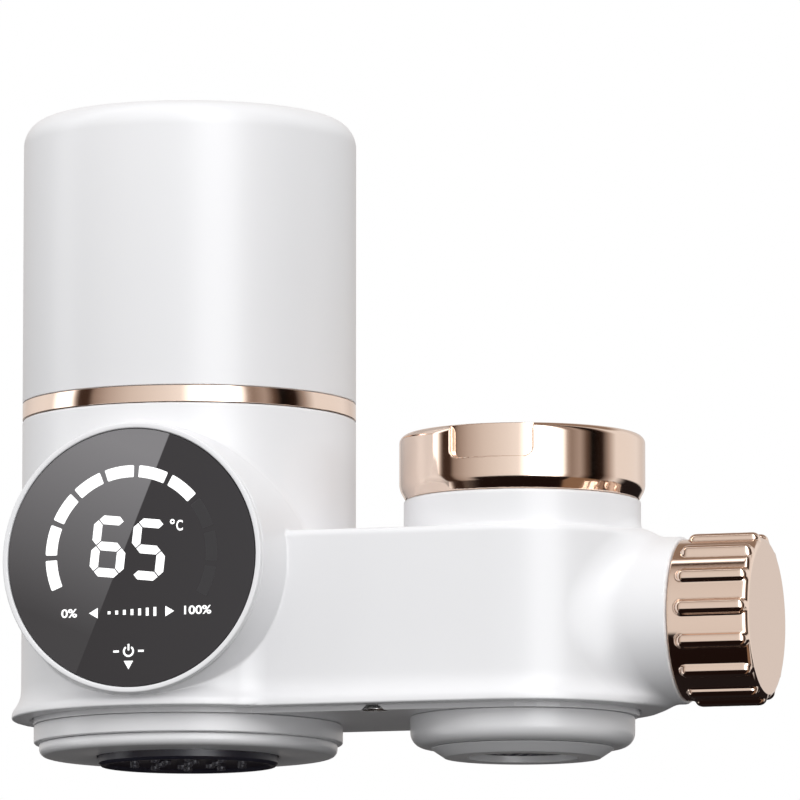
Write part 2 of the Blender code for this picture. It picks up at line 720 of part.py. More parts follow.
def make_valve_body():
    """The inner water body: inlet spigot, diverter barrel, stream column and the cross pipe to the bowl."""
    spigot_floor = ARM_TOP - WALL
    profile = [
        (0.0, SPIGOT_TOP),
        (THREAD_R, SPIGOT_TOP),
        (THREAD_R, spigot_floor - NOZZLE_LEDGE),
        (COLUMN_R, spigot_floor - NOZZLE_LEDGE - WALL),
        (COLUMN_R, COLUMN_LOW),
        (0.0, COLUMN_LOW),
    ]
    body = turned("valve_body", profile, tap_axis, white_inner, MEDIUM, closed=False)
    barrel = rod("barrel", BARREL_R, -BARREL_BACK, BARREL_END, valve_axis)
    pipe = turned(
        "cross_pipe",
        [
            (0.0, 0.0),
            (PIPE_R, 0.0),
            (PIPE_R, PIPE_SEAL + SEAL_GROOVE_H / 2),
            (PIPE_R - PIPE_GROOVE, PIPE_SEAL + SEAL_GROOVE_H / 2),
            (PIPE_R - PIPE_GROOVE, PIPE_SEAL - SEAL_GROOVE_H / 2),
            (PIPE_R, PIPE_SEAL - SEAL_GROOVE_H / 2),
            (PIPE_R, PIPE_END - AXIS_SPAN),
            (0.0, PIPE_END - AXIS_SPAN),
        ],
        valve_axis,
        facets=COARSE,
        closed=False,
    )
    join(body, barrel, pipe)
    bore = rod("barrel_bore", BARREL_BORE_R, -BARREL_BACK + WALL, BARREL_END + OVERRUN, valve_axis)
    inlet_bore = rod("inlet_bore", INLET_BORE_R, spigot_floor, SPIGOT_TOP + OVERRUN, tap_axis)
    inlet_port = rod("inlet_port", PORT_R, VALVE_HEIGHT, spigot_floor + OVERRUN, tap_axis, facets=COARSE)
    pipe_bore = rod("pipe_bore", PIPE_BORE_R, PIPE_END - AXIS_SPAN - OVERRUN, 0.0, valve_axis, facets=COARSE)
    outlet_bore = rod("outlet_bore", COLUMN_BORE_R, COLUMN_LOW - OVERRUN, VALVE_HEIGHT, tap_axis, facets=COARSE)
    cut(body, bore, inlet_bore, inlet_port, pipe_bore, outlet_bore)
    seal("crossover_seal", PIPE_R - PIPE_GROOVE + GAP + SEAL_R, PIPE_SEAL, valve_axis, rubber)


def make_diverter():
    """The spool in the barrel, held by a threaded retainer, with the knob on its spindle."""
    spool_r = BARREL_BORE_R - GAP
    groove_r = spool_r - 2 * SEAL_R - GAP
    half = SEAL_GROOVE_H / 2
    clip_low = BARREL_END + GAP
    clip_high = clip_low + CLIP_GROOVE
    clip_r = SPINDLE_R - CLIP_GROOVE
    profile = [
        (0.0, SPINDLE_END),
        (SPINDLE_R, SPINDLE_END),
        (SPINDLE_R, clip_high),
        (clip_r, clip_high),
        (clip_r, clip_low),
        (SPINDLE_R, clip_low),
        (SPINDLE_R, RETAINER_LOW - GAP),
        (spool_r, RETAINER_LOW - GAP),
    ]
    for place_x in sorted(SEAL_PLACES, reverse=True):
        profile += [
            (spool_r, place_x + half),
            (groove_r, place_x + half),
            (groove_r, place_x - half),
            (spool_r, place_x - half),
        ]
    spool_back = -BARREL_BACK + WALL + GAP
    profile += [(spool_r, spool_back), (0.0, spool_back)]
    spool = turned("diverter_spool", profile, valve_axis, cap_grey, COARSE + 4, closed=False)
    way = rod("spool_bore", PORT_R, spool_back - OVERRUN, PORT_R, valve_axis, facets=20)
    bm = bmesh.new()
    add_rod(bm, PORT_R - GAP, 0.0, spool_r + OVERRUN, 20, Matrix.Rotation(-math.pi / 2, 4, "Y"))
    port = place("spool_port", mesh_of("spool_port", bm), valve_axis)
    cut(spool, way, port)
    for index, place_x in enumerate(SEAL_PLACES, start=1):
        seal(f"spool_seal_{index}", groove_r + GAP + SEAL_R, place_x, valve_axis, rubber)
    ring("spool_retainer", SPINDLE_R + GAP, spool_r, RETAINER_LOW, BARREL_END - GAP, valve_axis, cap_grey, COARSE)
    clip = ring("spindle_clip", clip_r + GAP, SPINDLE_R + 2 * WALL - OVERRUN, clip_low + GAP, clip_high - GAP,
                valve_axis, steel, COARSE)
    mouth = box("clip_mouth", (0.0, -clip_r / 2, 0.0), (BARREL_R, clip_r / 2, KNOB_END), valve_axis)
    cut(clip, mouth)


def make_knob():
    """The ribbed knob: a turned shell with a hub, and ribs let into its wall."""
    inner = KNOB_R - KNOB_WALL
    hub_r = SPINDLE_R + GAP + KNOB_HUB_WALL
    end_in = KNOB_END - KNOB_WALL
    hub_low = KNOB_START + CLIP_GROOVE
    profile = [(0.0, KNOB_END)]
    profile += arc((KNOB_R - KNOB_ROUND, KNOB_END - KNOB_ROUND), KNOB_ROUND, 90, 0, 3)
    profile += [
        (KNOB_R, KNOB_START),
        (inner, KNOB_START),
        (inner, end_in),
        (hub_r, end_in),
        (hub_r, hub_low),
        (SPINDLE_R + GAP, hub_low),
        (SPINDLE_R + GAP, SPINDLE_END + GAP),
        (0.0, SPINDLE_END + GAP),
    ]
    knob = turned("diverter_knob", profile, valve_axis, rose_gold, 52, closed=False)
    bm = bmesh.new()
    rib_low = KNOB_START + RIB_START
    rib_high = KNOB_END - RIB_END
    axis_r = KNOB_R + RIB_OUT - RIB_R
    for index in range(RIBS):
        angle = math.radians(RIB_PHASE - 90 + 360 * index / RIBS)
        turn = Matrix.Rotation(angle, 4, "Z") @ Matrix.Translation((axis_r, 0.0, 0.0))
        grown = bmesh.ops.create_uvsphere(bm, u_segments=6, v_segments=6, radius=RIB_R)
        middle = (rib_low + rib_high) / 2
        reach = (rib_high - rib_low) / 2 - RIB_R
        for vert in grown["verts"]:
            shift = 0.0 if abs(vert.co.z) < GAP / 10 else math.copysign(reach, vert.co.z)
            vert.co.z += middle + shift
            vert.co = turn @ vert.co
    ribs = place("knob_ribs", mesh_of("knob_ribs", bm), valve_axis)
    join(knob, ribs)


def make_turbine():
    """The flow turbine on its axle, between two spoked carriers in the cross pipe."""
    start = CUP_R + TURBINE_FROM_CUP - AXIS_SPAN
    inner_start = start + CARRIER_H + GAP
    inner_end = inner_start + TURBINE_L
    end = inner_end + GAP + CARRIER_H
    rim_r = PIPE_BORE_R - GAP
    hole_r = TURBINE_AXLE_R + GAP
    for name, low in (("turbine_carrier_inlet", inner_end + GAP), ("turbine_carrier_outlet", start)):
        carrier = ring(name, rim_r - CARRIER_RIM, rim_r, low, low + CARRIER_H, valve_axis, cap_grey, COARSE)
        hub = ring(f"{name}_hub", hole_r, TURBINE_HUB_R, low, low + CARRIER_H, valve_axis, facets=12)
        bm = bmesh.new()
        for index in range(3):
            turn = Matrix.Rotation(2 * math.pi * index / 3, 4, "Z")
            add_box(bm, (TURBINE_HUB_R - BLADE_T / 2, -BLADE_T / 2, low + GAP),
                    (rim_r - CARRIER_RIM / 2, BLADE_T / 2, low + CARRIER_H - GAP), turn)
        spokes = place(f"{name}_spokes", mesh_of(f"{name}_spokes", bm), valve_axis)
        join(spokes, hub)
        join(carrier, spokes)
    rod("turbine_axle", TURBINE_AXLE_R, start, end, valve_axis, steel, 10)
    turbine = ring("flow_turbine", hole_r, TURBINE_HUB_R, inner_start, inner_end, valve_axis, turbine_blue, 16)
    bm = bmesh.new()
    reach = TURBINE_L / 2 - 2 * GAP
    middle = Matrix.Translation((0.0, 0.0, (inner_start + inner_end) / 2))
    for index in range(TURBINE_BLADES):
        turn = Matrix.Rotation(2 * math.pi * index / TURBINE_BLADES, 4, "Z")
        pitch = Matrix.Rotation(math.radians(BLADE_TWIST), 4, "X")
        add_box(bm, (TURBINE_HUB_R - BLADE_T / 3, -BLADE_T / 2, -reach),
                (rim_r - 2 * GAP, BLADE_T / 2, reach), middle @ turn @ pitch)
    join(turbine, place("turbine_blades", mesh_of("turbine_blades", bm), valve_axis))


def make_tap_connector():
    """The coupling nut, and inside it the adapter that screws to the tap, its seals and the inlet screen."""
    flange_low = NUT_TOP - NUT_FLANGE_H
    profile = [
        (NUT_MOUTH_R, NUT_TOP),
        (NUT_R - NUT_TOP_CHAMFER, NUT_TOP),
        (NUT_R, NUT_TOP - NUT_TOP_CHAMFER),
        (NUT_R, NUT_LOW + NUT_FOOT_H),
        (NUT_R - NUT_FOOT_IN, NUT_LOW),
        (THREAD_R + GAP, NUT_LOW),
        (THREAD_R + GAP, flange_low),
        (NUT_MOUTH_R, flange_low),
    ]
    nut = turned("coupling_nut", profile, tap_axis, rose_gold, FINE)

    low = NUT_TOP - NOTCH_TALL
    side = NOTCH_HALF_W - NOTCH_ROUND
    outline = [(NOTCH_HALF_W, NUT_TOP + OVERRUN), (-NOTCH_HALF_W, NUT_TOP + OVERRUN)]
    outline += arc((-side, low + NOTCH_ROUND), NOTCH_ROUND, 180, 270, 3)
    outline += arc((side, low + NOTCH_ROUND), NOTCH_ROUND, 270, 360, 3)
    bm = bmesh.new()
    for index in range(NOTCHES):
        turn = Matrix.Rotation(math.radians(NOTCH_TURN + 360 * index / NOTCHES), 4, "Z")
        start = len(bm.verts)
        face = bm.faces.new([bm.verts.new((NUT_MOUTH_R, y, z)) for y, z in outline])
        grown = bmesh.ops.extrude_face_region(bm, geom=[face])
        moved = [item for item in grown["geom"] if isinstance(item, bmesh.types.BMVert)]
        bmesh.ops.translate(bm, verts=moved, vec=(NUT_R - NUT_MOUTH_R + OVERRUN, 0.0, 0.0))
        bm.verts.ensure_lookup_table()
        bmesh.ops.transform(bm, matrix=turn, verts=bm.verts[start:])
    notches = place("nut_notches", mesh_of("nut_notches", bm), tap_axis)
    cut(notches, rod("nut_core", NUT_R - NOTCH_DEEP, NUT_LOW, NUT_TOP + 2 * OVERRUN, tap_axis, facets=FINE))
    cut(nut, notches)

    seal_in = TAIL_IN_ADAPTER_R + GAP
    ring("adapter_seal", seal_in, THREAD_R - GAP, SPIGOT_TOP + GAP, ADAPTER_LOW - GAP, tap_axis, rubber)
    tail_low = ADAPTER_LOW - ADAPTER_TAIL
    ledge_top = tail_low + ADAPTER_LEDGE
    profile = [
        (ADAPTER_BORE_R, NUT_TOP - GAP),
        (NUT_MOUTH_R - GAP, NUT_TOP - GAP),
        (NUT_MOUTH_R - GAP, flange_low - GAP),
        (THREAD_R - GAP, flange_low - GAP),
        (THREAD_R - GAP, ADAPTER_LOW),
        (TAIL_IN_ADAPTER_R, ADAPTER_LOW),
        (TAIL_IN_ADAPTER_R, tail_low),
        (ADAPTER_BORE_R - ADAPTER_LEDGE, tail_low),
        (ADAPTER_BORE_R - ADAPTER_LEDGE, ledge_top),
        (ADAPTER_BORE_R, ledge_top),
    ]
    turned("tap_adapter", profile, tap_axis, brass, MEDIUM)
    screen_low = ledge_top + GAP
    screen_top = screen_low + SCREEN_H
    screen_r = ADAPTER_BORE_R - GAP
    screen = rod("inlet_screen", screen_r, screen_low, screen_top, tap_axis, steel, COARSE)
    rings = ((0.0, 1), (3 * SCREEN_HOLE_R, 6), (6 * SCREEN_HOLE_R, 12))
    cut(screen, hole_pattern("screen_holes", rings, SCREEN_HOLE_R, tail_low, NUT_TOP, tap_axis))
    washer_low = screen_top + GAP
    ring("inlet_washer", screen_r - ADAPTER_LEDGE, screen_r, washer_low, washer_low + INLET_WASHER_H, tap_axis,
         rubber, COARSE)


# Sizes that two or more pieces share
THREAD_R = NECK_R - NECK_WALL - GAP
SPIGOT_TOP = NECK_TOP + SPIGOT_TOP_OUT
ADAPTER_LOW = SPIGOT_TOP + INLET_SEAL_H + 2 * GAP
TAIL_IN_ADAPTER_R = ADAPTER_BORE_R + ADAPTER_WALL
SPRAY_FLANGE_R = SPRAY_R + SPRAY_FLANGE
SPRAY_TOP = COLLAR_LOW + SPRAY_FLANGE_H
COLLAR_HUB_TOP = PLATE_TOP + BOWL_FLOOR / 2
BOWL_LOW = COLLAR_HUB_TOP + GAP
BOWL_TOP = COVER_LOW + BOWL_COLLAR_H
COLLAR_THREAD_R = CUP_R - COVER_WALL - GAP
SEAL_MID_R = COLLAR_THREAD_R - SEAL_R
TAIL_R = SPIGOT_R + GAP + SOCKET_WALL
TAIL_LOW = COLLAR_HUB_TOP - BOWL_FLOOR
SPIGOT_LOW = TAIL_LOW + BOWL_FLOOR
SOCKET_TOP = SPIGOT_LOW + SPIGOT_L
CARTRIDGE_LOW = SOCKET_TOP + GAP
CARTRIDGE_TOP = COVER_TOP - COVER_WALL - COVER_FREE
spigot_seals = (SPIGOT_LOW + 0.68 * SPIGOT_L, SPIGOT_LOW + 0.32 * SPIGOT_L)
STREAM_TOP = PLATE_TOP + GAP
STREAM_HUB_R = NOZZLE_R + GAP + HUB_WALL
COLUMN_LOW = STREAM_TOP + WASHER_H
COLUMN_BORE_R = NOZZLE_BORE_R - NOZZLE_LEDGE
BARREL_END = BOSS_OUT - OVERRUN + GAP
RETAINER_LOW = BARREL_END - GAP - RETAINER_H
SPINDLE_END = RETAINER_LOW + SPINDLE_L
PIPE_SOCKET_R = PIPE_R - PIPE_GROOVE + 2 * SEAL_R + 2 * GAP
PIPE_END = BOWL_R
SOCKET_MOUTH = PIPE_END + PIPE_IN_BOWL
PIPE_SEAL = PIPE_END + PIPE_IN_BOWL / 2 - AXIS_SPAN

clear_scene()
parts = collection("faucet_mount_water_filter")
tools = collection("cutters")

white = finish("white_plastic", (0.86, 0.86, 0.88), 0.25)
white_inner = finish("inner_plastic", (0.80, 0.80, 0.80), 0.45)
clear_grey = finish("bowl_plastic", (0.72, 0.76, 0.80), 0.35)
cap_grey = finish("cap_plastic", (0.55, 0.58, 0.62), 0.45)
dark_grey = finish("nozzle_plastic", (0.10, 0.10, 0.13), 0.4)
black = finish("black_plastic", (0.03, 0.03, 0.03), 0.6)
rose_gold = finish("rose_gold", (0.86, 0.56, 0.43), 0.12, 1.0)
brass = finish("brass", (0.72, 0.56, 0.30), 0.25, 1.0)
steel = finish("steel", (0.62, 0.62, 0.62), 0.3, 1.0)
rubber = finish("rubber", (0.05, 0.05, 0.05), 0.8)
felt = finish("sediment_felt", (0.86, 0.86, 0.83), 0.95)
carbon = finish("carbon", (0.03, 0.03, 0.03), 0.9)
dark_glass = finish("dark_glass", (0.02, 0.02, 0.025), 0.06)
board_green = finish("board", (0.05, 0.22, 0.12), 0.5)
turbine_blue = finish("turbine_plastic", (0.15, 0.30, 0.60), 0.4)

filter_axis = axis_empty("filter_axis", (FILTER_X, AXIS_Y, 0.0))
tap_axis = axis_empty("tap_axis", (TAP_X, AXIS_Y, 0.0))
valve_axis = axis_empty("valve_axis", (TAP_X, AXIS_Y, VALVE_HEIGHT), (0.0, math.pi / 2, 0.0))
display_axis = axis_empty("display_axis", (FILTER_X, AXIS_Y, DISPLAY_HEIGHT), (math.pi / 2, 0.0, 0.0))
screw_x = FILTER_X + CUP_R + SCREW_FROM_CUP
screw_y = ARM_HALF_W - WALL - POST_R + POST_IN_WALL
screw_spots = {
    side: axis_empty(f"screw_axis_{name}", (screw_x, AXIS_Y + side * screw_y, 0.0))
    for side, name in ((-1, "front"), (1, "back"))
}

make_casing()
make_bottom_cover()
make_filter_bowl()
make_cover()
make_cartridge()
make_filter_outlet()
make_stream_outlet()
make_display()
make_valve_body()
make_diverter()
make_knob()
make_turbine()
make_tap_connector()
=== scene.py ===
"""The looks of a faucet mount water filter, piece by piece in the order that it is put together.

Lengths are metres. Most pieces are turned, so they are (radius, height) profiles on the filter's upright
axis, the tap's upright axis or the display's level axis to the front.
"""

import math

import bmesh
import bpy
import numpy as np
from mathutils import Matrix, Vector


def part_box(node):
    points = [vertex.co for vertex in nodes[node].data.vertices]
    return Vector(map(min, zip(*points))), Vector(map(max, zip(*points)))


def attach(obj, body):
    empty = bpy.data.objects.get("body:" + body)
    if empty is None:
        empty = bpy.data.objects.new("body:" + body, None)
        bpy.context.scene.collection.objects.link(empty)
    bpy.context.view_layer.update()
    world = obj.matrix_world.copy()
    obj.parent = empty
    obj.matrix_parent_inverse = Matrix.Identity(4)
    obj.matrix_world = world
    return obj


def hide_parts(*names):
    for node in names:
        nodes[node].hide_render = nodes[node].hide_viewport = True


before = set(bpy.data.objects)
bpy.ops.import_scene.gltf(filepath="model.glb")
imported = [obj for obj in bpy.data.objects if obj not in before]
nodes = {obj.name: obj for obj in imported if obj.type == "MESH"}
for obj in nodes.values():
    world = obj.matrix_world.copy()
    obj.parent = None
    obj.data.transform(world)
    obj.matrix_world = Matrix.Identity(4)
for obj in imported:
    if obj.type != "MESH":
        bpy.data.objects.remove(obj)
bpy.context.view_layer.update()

# Casing: one white gloss ABS moulding, with the base cup, the arm, the tap housing and its neck,
# the knob boss and the cone behind the display. The tool's corners are blended, and the lip round the
# underside is hollow-ground. The three axes that the other pieces are turned on run through it.
ring_low, ring_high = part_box("trim_ring")
nut_low, nut_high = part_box("coupling_nut")
knob_low, knob_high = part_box("diverter_knob")
bezel_low, bezel_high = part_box("display_bezel")


def radius_of(name):
    """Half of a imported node's width."""
    low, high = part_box(name)
    return (high.x - low.x) / 2


GAP = 0.0003
SEAM = 0.00005
AXIS_Y = (ring_low.y + ring_high.y) / 2
FILTER_X = (ring_low.x + ring_high.x) / 2
TAP_X = (nut_low.x + nut_high.x) / 2
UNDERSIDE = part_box("casing")[0].z
CUP_R = radius_of("trim_ring")
CUP_TOP = ring_low.z - 2 * SEAM
SPAN = TAP_X - FILTER_X
WALL = 0.0022
ARM_HALF_W = 0.0260
ARM_TOP = UNDERSIDE + 0.0354
ARM_ROUND = 0.0014
ARM_FILLET = 0.0020
LIP_OUT = 0.0020
LIP_H = 0.0016
LIP_SOFT = 0.12
FLARE_H = 0.0070
NECK_R = 0.0239
NECK_WALL = 0.0017
NECK_TOP = nut_low.z - SEAM
VALVE_Z = UNDERSIDE + 0.0175
BOSS_R = 0.0168
BOSS_END = knob_low.x - SEAM - TAP_X
BOSS_FILLET = 0.0046
BARREL_R = 0.0136
DISPLAY_Z = (bezel_low.z + bezel_high.z) / 2
BEZEL_R = radius_of("display_bezel")
DRUM_FRONT = AXIS_Y - bezel_high.y - GAP
DRUM_BACK = DRUM_FRONT - 0.0222
DRUM_SLOPE = 0.17
DRUM_ROUND = 0.0004
POCKET_DEPTH = 0.0105
EDGE_ROUND = 0.0005
WALL_ROUND = 0.00025
CASING_VOXEL = 0.00045
CASING_REACH = 0.0008
CASING_MOST = 190000

filter_axis = Matrix.Translation((FILTER_X, AXIS_Y, 0.0))
tap_axis = Matrix.Translation((TAP_X, AXIS_Y, 0.0))
display_axis = Matrix.Translation((FILTER_X, AXIS_Y, DISPLAY_Z)) @ Matrix.Rotation(math.pi / 2, 4, "X")


def node(tree, kind, inputs=(), **settings):
    """A new node with these settings. An input is linked where its value is a socket, and set otherwise."""
    made = tree.nodes.new(kind)
    for setting, value in settings.items():
        setattr(made, setting, value)
    for socket, value in dict(inputs).items():
        if isinstance(value, bpy.types.NodeSocket):
            tree.links.new(value, made.inputs[socket])
        else:
            made.inputs[socket].default_value = value
    return made


def maths(tree, operation, *values):
    """The result of a math node on sockets and numbers."""
    return node(tree, "ShaderNodeMath", enumerate(values), operation=operation).outputs[0]


def node_group(name, kind, takes, gives):
    """A node group and its inputs as sockets. What it takes and gives are names with their types."""
    tree = bpy.data.node_groups.new(name, kind)
    for side, sockets in (("INPUT", takes), ("OUTPUT", gives)):
        for socket, socket_type in sockets.items():
            tree.interface.new_socket(name=socket, in_out=side, socket_type=f"NodeSocket{socket_type}")
    return tree, tree.nodes.new("NodeGroupInput").outputs


def mottle_group():
    """Slow and fine noise, which vary a colour, a roughness and a relief a little over a surface."""
    takes = {
        "Colour": "Color",
        "Tint": "Float",
        "Roughness": "Float",
        "Spread": "Float",
        "Grain": "Float",
        "Patch": "Float",
    }
    gives = {"Colour": "Color", "Roughness": "Float", "Height": "Float"}
    tree, given = node_group("mottle", "ShaderNodeTree", takes, gives)
    place = node(tree, "ShaderNodeTexCoord").outputs["Object"]
    patch = node(tree, "ShaderNodeTexNoise", {"Vector": place, "Scale": given["Patch"], "Detail": 3.0})
    grain = node(tree, "ShaderNodeTexNoise", {"Vector": place, "Scale": given["Grain"], "Detail": 2.0})
    centred = maths(tree, "SUBTRACT", patch.outputs["Fac"], 0.5)
    roughness = maths(tree, "MULTIPLY_ADD", centred, given["Spread"], given["Roughness"])
    shade = maths(tree, "MULTIPLY_ADD", centred, given["Tint"], 1.0)
    tinted = node(tree, "ShaderNodeVectorMath", {0: given["Colour"], "Scale": shade}, operation="SCALE")
    results = {"Colour": tinted.outputs[0], "Roughness": roughness, "Height": grain.outputs["Fac"]}
    node(tree, "NodeGroupOutput", results)
    return tree


mottle = mottle_group()
GRAIN_DEPTH = 0.0001


def surface(
    name, colour, roughness, metallic=0.0, tint=0.04, spread=0.06, grain=2500.0, patch=60.0, relief=0.02
):
    """A Principled material. What varies over it comes from the mottle, and the rest is set plainly."""
    made = bpy.data.materials.new(name)
    made.use_nodes = True
    tree = made.node_tree
    shader = tree.nodes["Principled BSDF"].inputs
    shader["Base Color"].default_value = (*colour, 1.0)
    shader["Metallic"].default_value = metallic
    shader["Roughness"].default_value = roughness
    values = {
        "Colour": (*colour, 1.0),
        "Tint": tint,
        "Roughness": roughness,
        "Spread": spread,
        "Grain": grain,
        "Patch": patch,
    }
    varied = node(tree, "ShaderNodeGroup", values, node_tree=mottle).outputs
    if tint > 0.0:
        tree.links.new(varied["Colour"], shader["Base Color"])
    if spread > 0.0:
        tree.links.new(varied["Roughness"], shader["Roughness"])
    if relief > 0.0:
        values = {"Strength": relief, "Distance": GRAIN_DEPTH, "Height": varied["Height"]}
        tree.links.new(node(tree, "ShaderNodeBump", values).outputs["Normal"], shader["Normal"])
    return made


def piece(name, mesh, material):
    """An object of this mesh, in one material."""
    mesh.name = name
    mesh.materials.clear()
    mesh.materials.append(material)
    made = bpy.data.objects.new(name, mesh)
    bpy.context.scene.collection.objects.link(made)
    return made


def mesh_of(bm):
    """A mesh of what is in a bmesh, which goes."""
    mesh = bpy.data.meshes.new("shape")
    bm.to_mesh(mesh)
    bm.free()
    return mesh


def evaluated_mesh(shape):
    """The mesh of an object with its modifiers applied. The object goes."""
    bpy.context.view_layer.update()
    graph = bpy.context.evaluated_depsgraph_get()
    mesh = bpy.data.meshes.new_from_object(shape.evaluated_get(graph))
    mesh.transform(shape.matrix_world)
    bpy.data.objects.remove(shape)
    return mesh


MERGE_DISTANCE = 0.000002


def merged_copy(name):
    """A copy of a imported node, with the corners of its loose triangles merged."""
    bm = bmesh.new()
    bm.from_mesh(nodes[name].data)
    bmesh.ops.remove_doubles(bm, verts=bm.verts, dist=MERGE_DISTANCE)
    return piece("rough", mesh_of(bm), nodes[name].data.materials[0])


def weld(one, other, radius):
    """The distance to two shapes joined, with a hollow fillet of this radius where they meet."""
    near = np.hypot(np.maximum(radius - one, 0.0), np.maximum(radius - other, 0.0))
    return np.maximum(radius, np.minimum(one, other)) - near


def common(one, other, radius):
    """The distance to what two shapes share, with its edge rounded to this radius."""
    near = np.hypot(np.maximum(radius + one, 0.0), np.maximum(radius + other, 0.0))
    return np.minimum(-radius, np.maximum(one, other)) + near


SLOPE_STEP = 0.00002
SLOPE_LEAST = 0.1
LONGEST_MOVE = 0.0006
DRAWN_TIMES = 7
EASED_TIMES = 4
BLEND_MARGIN = 1.6
SAME_DISTANCE = GAP / 1000


def slope_of(distance, points):
    """How the distance changes along x, y and z."""
    slopes = np.empty_like(points)
    for axis in range(3):
        shift = np.zeros(3)
        shift[axis] = SLOPE_STEP
        slopes[:, axis] = (distance(points + shift) - distance(points - shift)) / (2 * SLOPE_STEP)
    return slopes


def drawn_onto(distance, points):
    """Points moved down the distance's slope until they lie on the surface."""
    for _ in range(DRAWN_TIMES):
        slopes = slope_of(distance, points)
        steep = np.maximum((slopes**2).sum(axis=1), SLOPE_LEAST)
        move = slopes * (distance(points) / steep)[:, None]
        length = np.maximum(np.linalg.norm(move, axis=1), 1e-12)
        points = points - move * np.minimum(1.0, LONGEST_MOVE / length)[:, None]
    return points


def eased(mesh, points, moving):
    """Moving points drawn halfway to the middle of their neighbours, which evens out the faces."""
    ends = np.empty(len(mesh.edges) * 2, np.int32)
    mesh.edges.foreach_get("vertices", ends)
    first, second = ends.reshape(-1, 2).T
    count = np.bincount(ends, minlength=len(points))
    middle = np.empty_like(points)
    for axis in range(3):
        total = np.bincount(first, points[second, axis], len(points))
        total += np.bincount(second, points[first, axis], len(points))
        middle[:, axis] = total / np.maximum(count, 1)
    return np.where(moving[:, None], (points + middle) / 2, points)


def fine_skin(rough, distance, voxel, reach, most, foot=0.0):
    """Remeshes a closed shape evenly, thins its plain stretches above its foot to so many triangles at most,
    and draws each point within reach of the blended surface onto it."""
    even = rough.modifiers.new("even", "REMESH")
    even.mode = "VOXEL"
    even.voxel_size = voxel
    mesh = evaluated_mesh(rough)
    share = most / (2 * len(mesh.polygons))
    if share < 1.0:
        shape = piece("even", mesh, mesh.materials[0])
        plain = shape.vertex_groups.new(name="plain")
        points = np.array([vertex.co for vertex in mesh.vertices])
        unblended = np.abs(distance(points, 0.0) - distance(points, BLEND_MARGIN)) < SAME_DISTANCE
        unblended &= points[:, 2] > foot
        plain.add(np.nonzero(unblended)[0].tolist(), 1.0, "REPLACE")
        fewer = shape.modifiers.new("fewer", "DECIMATE")
        fewer.ratio = share
        fewer.vertex_group = "plain"
        mesh = evaluated_mesh(shape)
    points = np.empty(len(mesh.vertices) * 3)
    mesh.vertices.foreach_get("co", points)
    points = points.reshape(-1, 3)
    near = np.minimum(np.abs(distance(points, 0.0)), np.abs(distance(points, 1.0))) < reach
    for _ in range(EASED_TIMES):
        points[near] = drawn_onto(lambda at: distance(at, 1.0), points[near])
        points = eased(mesh, points, near)
    points[near] = drawn_onto(lambda at: distance(at, 1.0), points[near])
    mesh.vertices.foreach_set("co", points.ravel())
    mesh.update()
    mesh.shade_smooth()
    normals = np.empty(len(points) * 3)
    mesh.vertex_normals.foreach_get("vector", normals)
    normals = normals.reshape(-1, 3)
    slopes = slope_of(lambda at: distance(at, 1.0), points[near])
    normals[near] = slopes / np.maximum(np.linalg.norm(slopes, axis=1), 1e-9)[:, None]
    mesh.normals_split_custom_set_from_vertices(normals.tolist())
    return mesh


def casing_skin(points, soft):
    """The distance to the casing's outside and cavities. At soft 0 every corner is sharp."""
    x = points[:, 0] - FILTER_X
    y = points[:, 1] - AXIS_Y
    z = points[:, 2]
    along_tap = x - SPAN
    rise = (z - UNDERSIDE - LIP_H) / (FLARE_H - LIP_H)
    rise = np.minimum((rise + np.hypot(rise, LIP_SOFT * soft)) / 2, 1.0)
    flare = LIP_OUT * (1 - rise) ** 3
    from_filter = np.hypot(x, y)
    from_arm = np.hypot(x - np.clip(x, 0.0, SPAN), y)
    from_tap = np.hypot(along_tap, y)
    from_valve = np.hypot(y, z - VALVE_Z)
    from_display = np.hypot(x, z - DISPLAY_Z)
    cup = common(from_filter - CUP_R - flare, z - CUP_TOP, EDGE_ROUND * soft)
    arm = common(from_arm - ARM_HALF_W - flare, z - ARM_TOP, ARM_ROUND * soft)
    neck = common(from_tap - NECK_R, z - NECK_TOP, EDGE_ROUND * soft)
    body = weld(weld(cup, arm, ARM_FILLET * soft), neck, EDGE_ROUND * soft)
    boss = common(from_valve - BOSS_R, along_tap - BOSS_END, EDGE_ROUND * soft)
    body = weld(body, np.maximum(boss, -along_tap), BOSS_FILLET * soft)
    drum_r = BEZEL_R + DRUM_SLOPE * (DRUM_FRONT + GAP + y)
    drum = common((from_display - drum_r) / math.hypot(1.0, DRUM_SLOPE), -y - DRUM_FRONT, DRUM_ROUND * soft)
    body = weld(body, np.maximum(drum, DRUM_BACK + y), DRUM_ROUND * soft)
    body = common(body, UNDERSIDE - z, EDGE_ROUND * soft)
    cup_bore = from_filter - CUP_R + WALL
    arm_cavity = np.maximum(from_arm - ARM_HALF_W + WALL, z - ARM_TOP + WALL)
    neck_bore = np.maximum(from_tap - NECK_R + NECK_WALL, VALVE_Z - z)
    boss_bore = np.maximum(from_valve - BARREL_R - GAP, -along_tap)
    pocket = np.maximum(from_display - drum_r + WALL - GAP, DRUM_FRONT - POCKET_DEPTH + y)
    pocket = np.maximum(pocket, CUP_R - from_filter)
    cavity = np.minimum.reduce([cup_bore, arm_cavity, neck_bore, boss_bore, pocket])
    return common(body, -cavity, WALL_ROUND * soft)


white_shell = surface("white_gloss_abs", (0.80, 0.80, 0.815), 0.30, tint=0.02, spread=0.03, relief=0.004)
casing_mesh = fine_skin(
    merged_copy("casing"), casing_skin, CASING_VOXEL, CASING_REACH, CASING_MOST, foot=UNDERSIDE + FLARE_H
)
casing = piece("casing_moulding", casing_mesh, white_shell)
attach(casing, "root")
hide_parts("casing")

